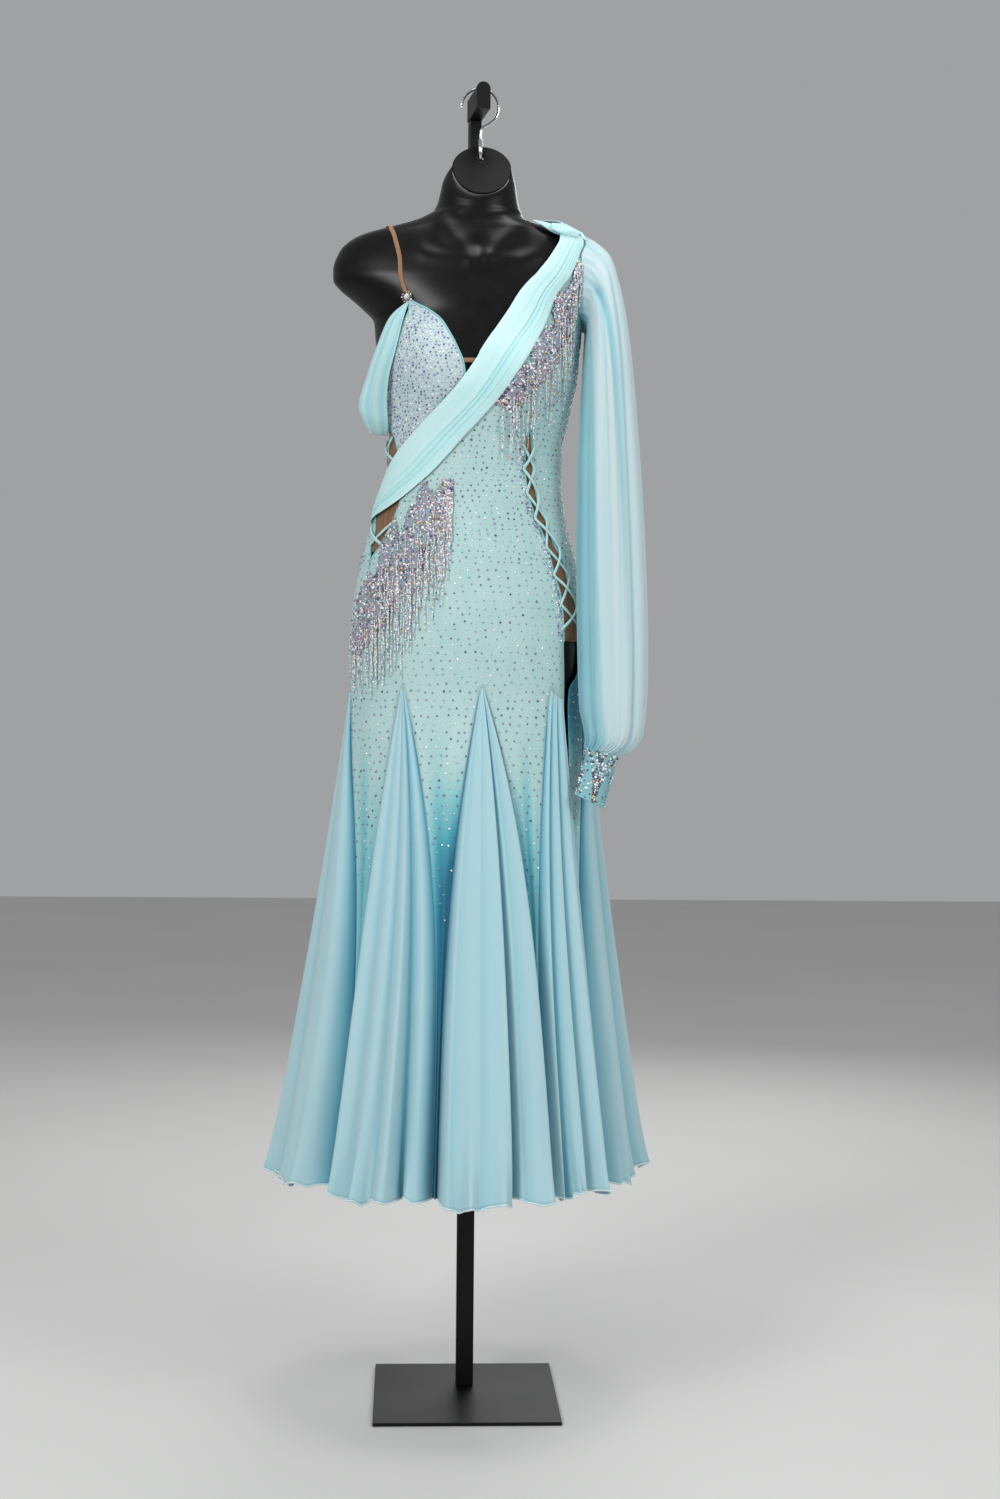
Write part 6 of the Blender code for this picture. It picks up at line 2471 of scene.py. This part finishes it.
HOOK_X = 7.3
HOOK_Y = 2.0
HOOK_WIRE = 1.9
CAP_MIDDLE = 1768.5
CAP_SLOPE = 1.1
CAP_WIDE = 42.0


def cap_height(y: Array) -> Array:
    """The height of the neck's slanted cut at a place along Y."""
    return CAP_MIDDLE + (y - HOOK_Y) * CAP_SLOPE


def cap_rim(turn: Array, rise: float) -> Array:
    """Points of the neck plate's outline, at a rise over the neck's cut."""
    neck = TORSO[1]
    reach = np.where(np.cos(turn) > 0, neck.front, neck.back)
    x = neck.centre + CAP_WIDE * np.sin(turn)
    y = neck.middle - reach * np.cos(turn)
    return np.stack((x, y, cap_height(y) + rise), axis=-1)


@dataclass
class TorsoForm:
    """The moulded half form: a glossy shell, open at its back and its bottom."""

    finish: GlossForm = GlossForm()
    edge_angle: float = 104.0
    bottom: float = 930.0
    neck_start: float = 1684.0
    wall: float = 4.0
    inset: float = 0.8
    under_cap: float = 1.7
    columns: int = 176
    body_rows: int = 180
    neck_rows: int = 26

    def relief(self, x: Array, height: Array) -> Array:
        """How far the moulded throat stands out or in."""
        total = np.zeros_like(x)
        for swell in SWELLS:
            points = np.array(swell.points, dtype=float)
            here = np.stack((x, height), axis=-1)
            away = np.linalg.norm(here - points[0], axis=-1)
            for start, end in zip(points[:-1], points[1:]):
                run = end - start
                share = np.clip(((here - start) @ run) / (run @ run), 0, 1)
                near = np.linalg.norm(here - start - share[..., None] * run, axis=-1)
                away = np.minimum(away, near)
            total += swell.high * np.exp(-(away / swell.wide) ** 2)
        return total * (1 - ease(76, 100, np.abs(x - 4)))

    def place(self, across: Array, up: Array) -> Array:
        """Points of the shell, whose neck ends at the slanted cut."""
        angle = mix(-self.edge_angle, self.edge_angle, across)
        row = up * (self.body_rows + self.neck_rows)
        height = mix(self.bottom, self.neck_start, np.clip(row / self.body_rows, 0, 1))
        top = np.full_like(angle, cap_height(HOOK_Y))
        behind = self.wall * np.minimum(0, np.cos(np.radians(angle)))
        for _ in range(12):
            top = cap_height(on_form(angle, top)[..., 1] + behind) + self.under_cap
        share = np.clip((row - self.body_rows) / self.neck_rows, 0, 1)
        height = mix(height, top, share)
        front = ease(0.1, 0.5, np.cos(np.radians(angle)))
        inset = self.inset * (1 - ease(1496, 1514, height))
        x = on_form(angle, height)[..., 0]
        point = skin(angle, height, self.relief(x, height) * front - inset)
        rolled = ease(0.62, 1.0, share) ** 1.6
        return mix(point, cap_rim(np.radians(angle), self.under_cap), rolled[..., None])

    def build(self) -> None:
        """Makes the shell."""
        item = joined("moulded_form", [
            Patch(self.columns, self.body_rows + self.neck_rows, self.place)])
        shown(walled(item, self.wall), self.finish.material(), ["torso_form"])


@dataclass
class NeckCap:
    """The slanted plate that closes the neck, with a round hole for the hook's foot."""

    finish: GlossForm = GlossForm("satin_moulding", 0.5, 0.1)
    wall: float = 3.0
    rise: float = 5.0
    hole: float = 4.6
    hook_x: float = HOOK_X
    hook_y: float = HOOK_Y
    wire: float = HOOK_WIRE

    def place(self, across: Array, up: Array) -> Array:
        """Points of the plate, from its rim to its hole."""
        turn = 2 * np.pi * across
        rim = cap_rim(turn, 0.0)
        hole = np.stack((self.hook_x + self.hole * np.sin(turn),
                         self.hook_y - self.hole * np.cos(turn) - self.wire / 2, 0 * turn), axis=-1)
        point = mix(rim, hole, (up ** 1.6)[..., None])
        rounding = 1.1 * (1 - ease(0.0, 0.16, up)) + 0.8 * (1 - ease(0.0, 0.14, 1 - up))
        point[..., 2] = cap_height(point[..., 1]) + self.rise - rounding
        return point

    def build(self) -> None:
        """Makes the plate."""
        item = joined("slanted_cap", [Patch(72, 24, self.place)])
        shown(walled(item, self.wall), self.finish.material(), ["neck_cap"])


@dataclass
class Hook:
    """The polished hook, from the neck plate over the stand's arm."""

    finish: Chrome = Chrome()
    wire: float = HOOK_WIRE
    radius: float = 26.7
    arm_top: float = 1866.0
    gap: float = 0.3
    arm_half: float = 10.0
    yaw: float = 9.0
    post_reach: float = 38.0
    y: float = HOOK_Y
    foot_x: float = HOOK_X
    neck: float = 44.5
    ferrule: float = 1.6
    foot_depth: float = 5.0
    bend: tuple[tuple[float, float], ...] = ((12, 24.2), (6, 27.7), (2.2, 32), (1.3, 38))

    def build(self) -> None:
        """Makes the hook with the ferrule at its foot."""
        inner = self.radius - self.wire
        half = self.arm_half / math.cos(math.radians(self.yaw))
        sag = inner - math.sqrt(inner ** 2 - half ** 2)
        centre = self.arm_top + self.gap + sag + self.wire - self.radius
        middle = self.post_reach * math.tan(math.radians(self.yaw))
        turn = np.radians(np.linspace(178, -48, 64))
        arc = np.stack((middle + self.radius * np.cos(turn), centre + self.radius * np.sin(turn)),
                       axis=-1)
        knots = [tuple(arc[-1])]
        knots += [(middle + across, centre - below) for across, below in self.bend]
        knots.append((self.foot_x, centre - self.neck))
        lower = follow(np.array(knots), np.linspace(0, 1, 40))
        top = centre - self.neck
        foot = cap_height(self.y) - self.foot_depth
        ferrule = [(self.foot_x, top - 0.3), (self.foot_x, top - 0.9), (self.foot_x, foot)]
        flat = np.concatenate((arc, lower[1:], np.array(ferrule)))
        path = np.stack((flat[:, 0], np.full(len(flat), self.y), flat[:, 1]), axis=-1)
        girth = np.full(len(path), self.wire)
        girth[-3:] = self.wire * np.array([0.7 + 0.6 * self.ferrule / 2, self.ferrule, self.ferrule])
        up = np.tile([[0.0, -1.0, 0.0]], (len(path), 1))
        item = joined("polished_hook", [tube(path, up, girth, girth, 16)])
        shown(item, self.finish.material(), ["hook"])


@dataclass
class Stand:
    """The black steel stand, whose solids keep their shape and get their paint."""

    finish: SatinSteel = SatinSteel()
    nodes: tuple[str, ...] = ("base_plate", "lower_post", "upper_post", "arm", "arm_tongue")

    def build(self, frame: dict[str, Any]) -> None:
        """Paints the solids."""
        paint = self.finish.material()
        for name in self.nodes:
            solid = frame["nodes"][name]
            solid.data.materials.clear()
            solid.data.materials.append(paint)
            log.info("%s: painted", name)


def corners(box: tuple[Any, Any]) -> list[list[float]]:
    """A box's lowest and highest corners as plain lists."""
    return [[float(value) for value in corner] for corner in box]


def main() -> None:
    """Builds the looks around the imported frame."""
    logging.basicConfig(level=logging.INFO, format="%(message)s")
    for item in list(bpy.data.objects):
        bpy.data.objects.remove(item)
    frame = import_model()
    solid_box = corners(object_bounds())
    Camera().build()
    Studio().build()
    Stand().build(frame)
    TorsoForm().build()
    NeckCap().build()
    Hook().build()
    bodice = Bodice()
    bodice.build()
    Inserts().build()
    Lacings().build()
    skirt_chiffon = Chiffon(Sheer.SKIRT).material()
    for number, shape in enumerate(GODETS, start=1):
        GodetCloth(number, shape, skirt_chiffon).build()
    sash_chiffon = Chiffon(Sheer.SASH).material()
    SashCloth(sash_chiffon).build()
    ShoulderLoop(sash_chiffon).build()
    CuffCloth().build()
    SleeveCloth(Chiffon(Sheer.SLEEVE).material()).build()
    Straps().build()
    ArmletCloth(Chiffon(Sheer.ARMLET).material()).build()
    crystals = {Cut.SILVER: Crystal(Cut.SILVER, 0.2).material(),
                Cut.STRAND: Crystal(Cut.STRAND, 0.05).material()}
    lace = Stretch("applique_lace", tone(148, 158, 166), tone(122, 142, 152)).material()
    Fringe("hip_applique", "hip_fringe", HIP_BAND, lift=8.0, strands=92, seed=31,
           stones=2900).build(crystals, lace)
    Fringe("bust_applique", "bust_fringe", BUST_BAND, lift=8.8, strands=60, seed=51,
           stones=2100).build(crystals, lace)
    Stones(bodice).build()
    {"solids": solid_box, "visual": corners(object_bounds())}


if __name__ == "__main__":
    main()
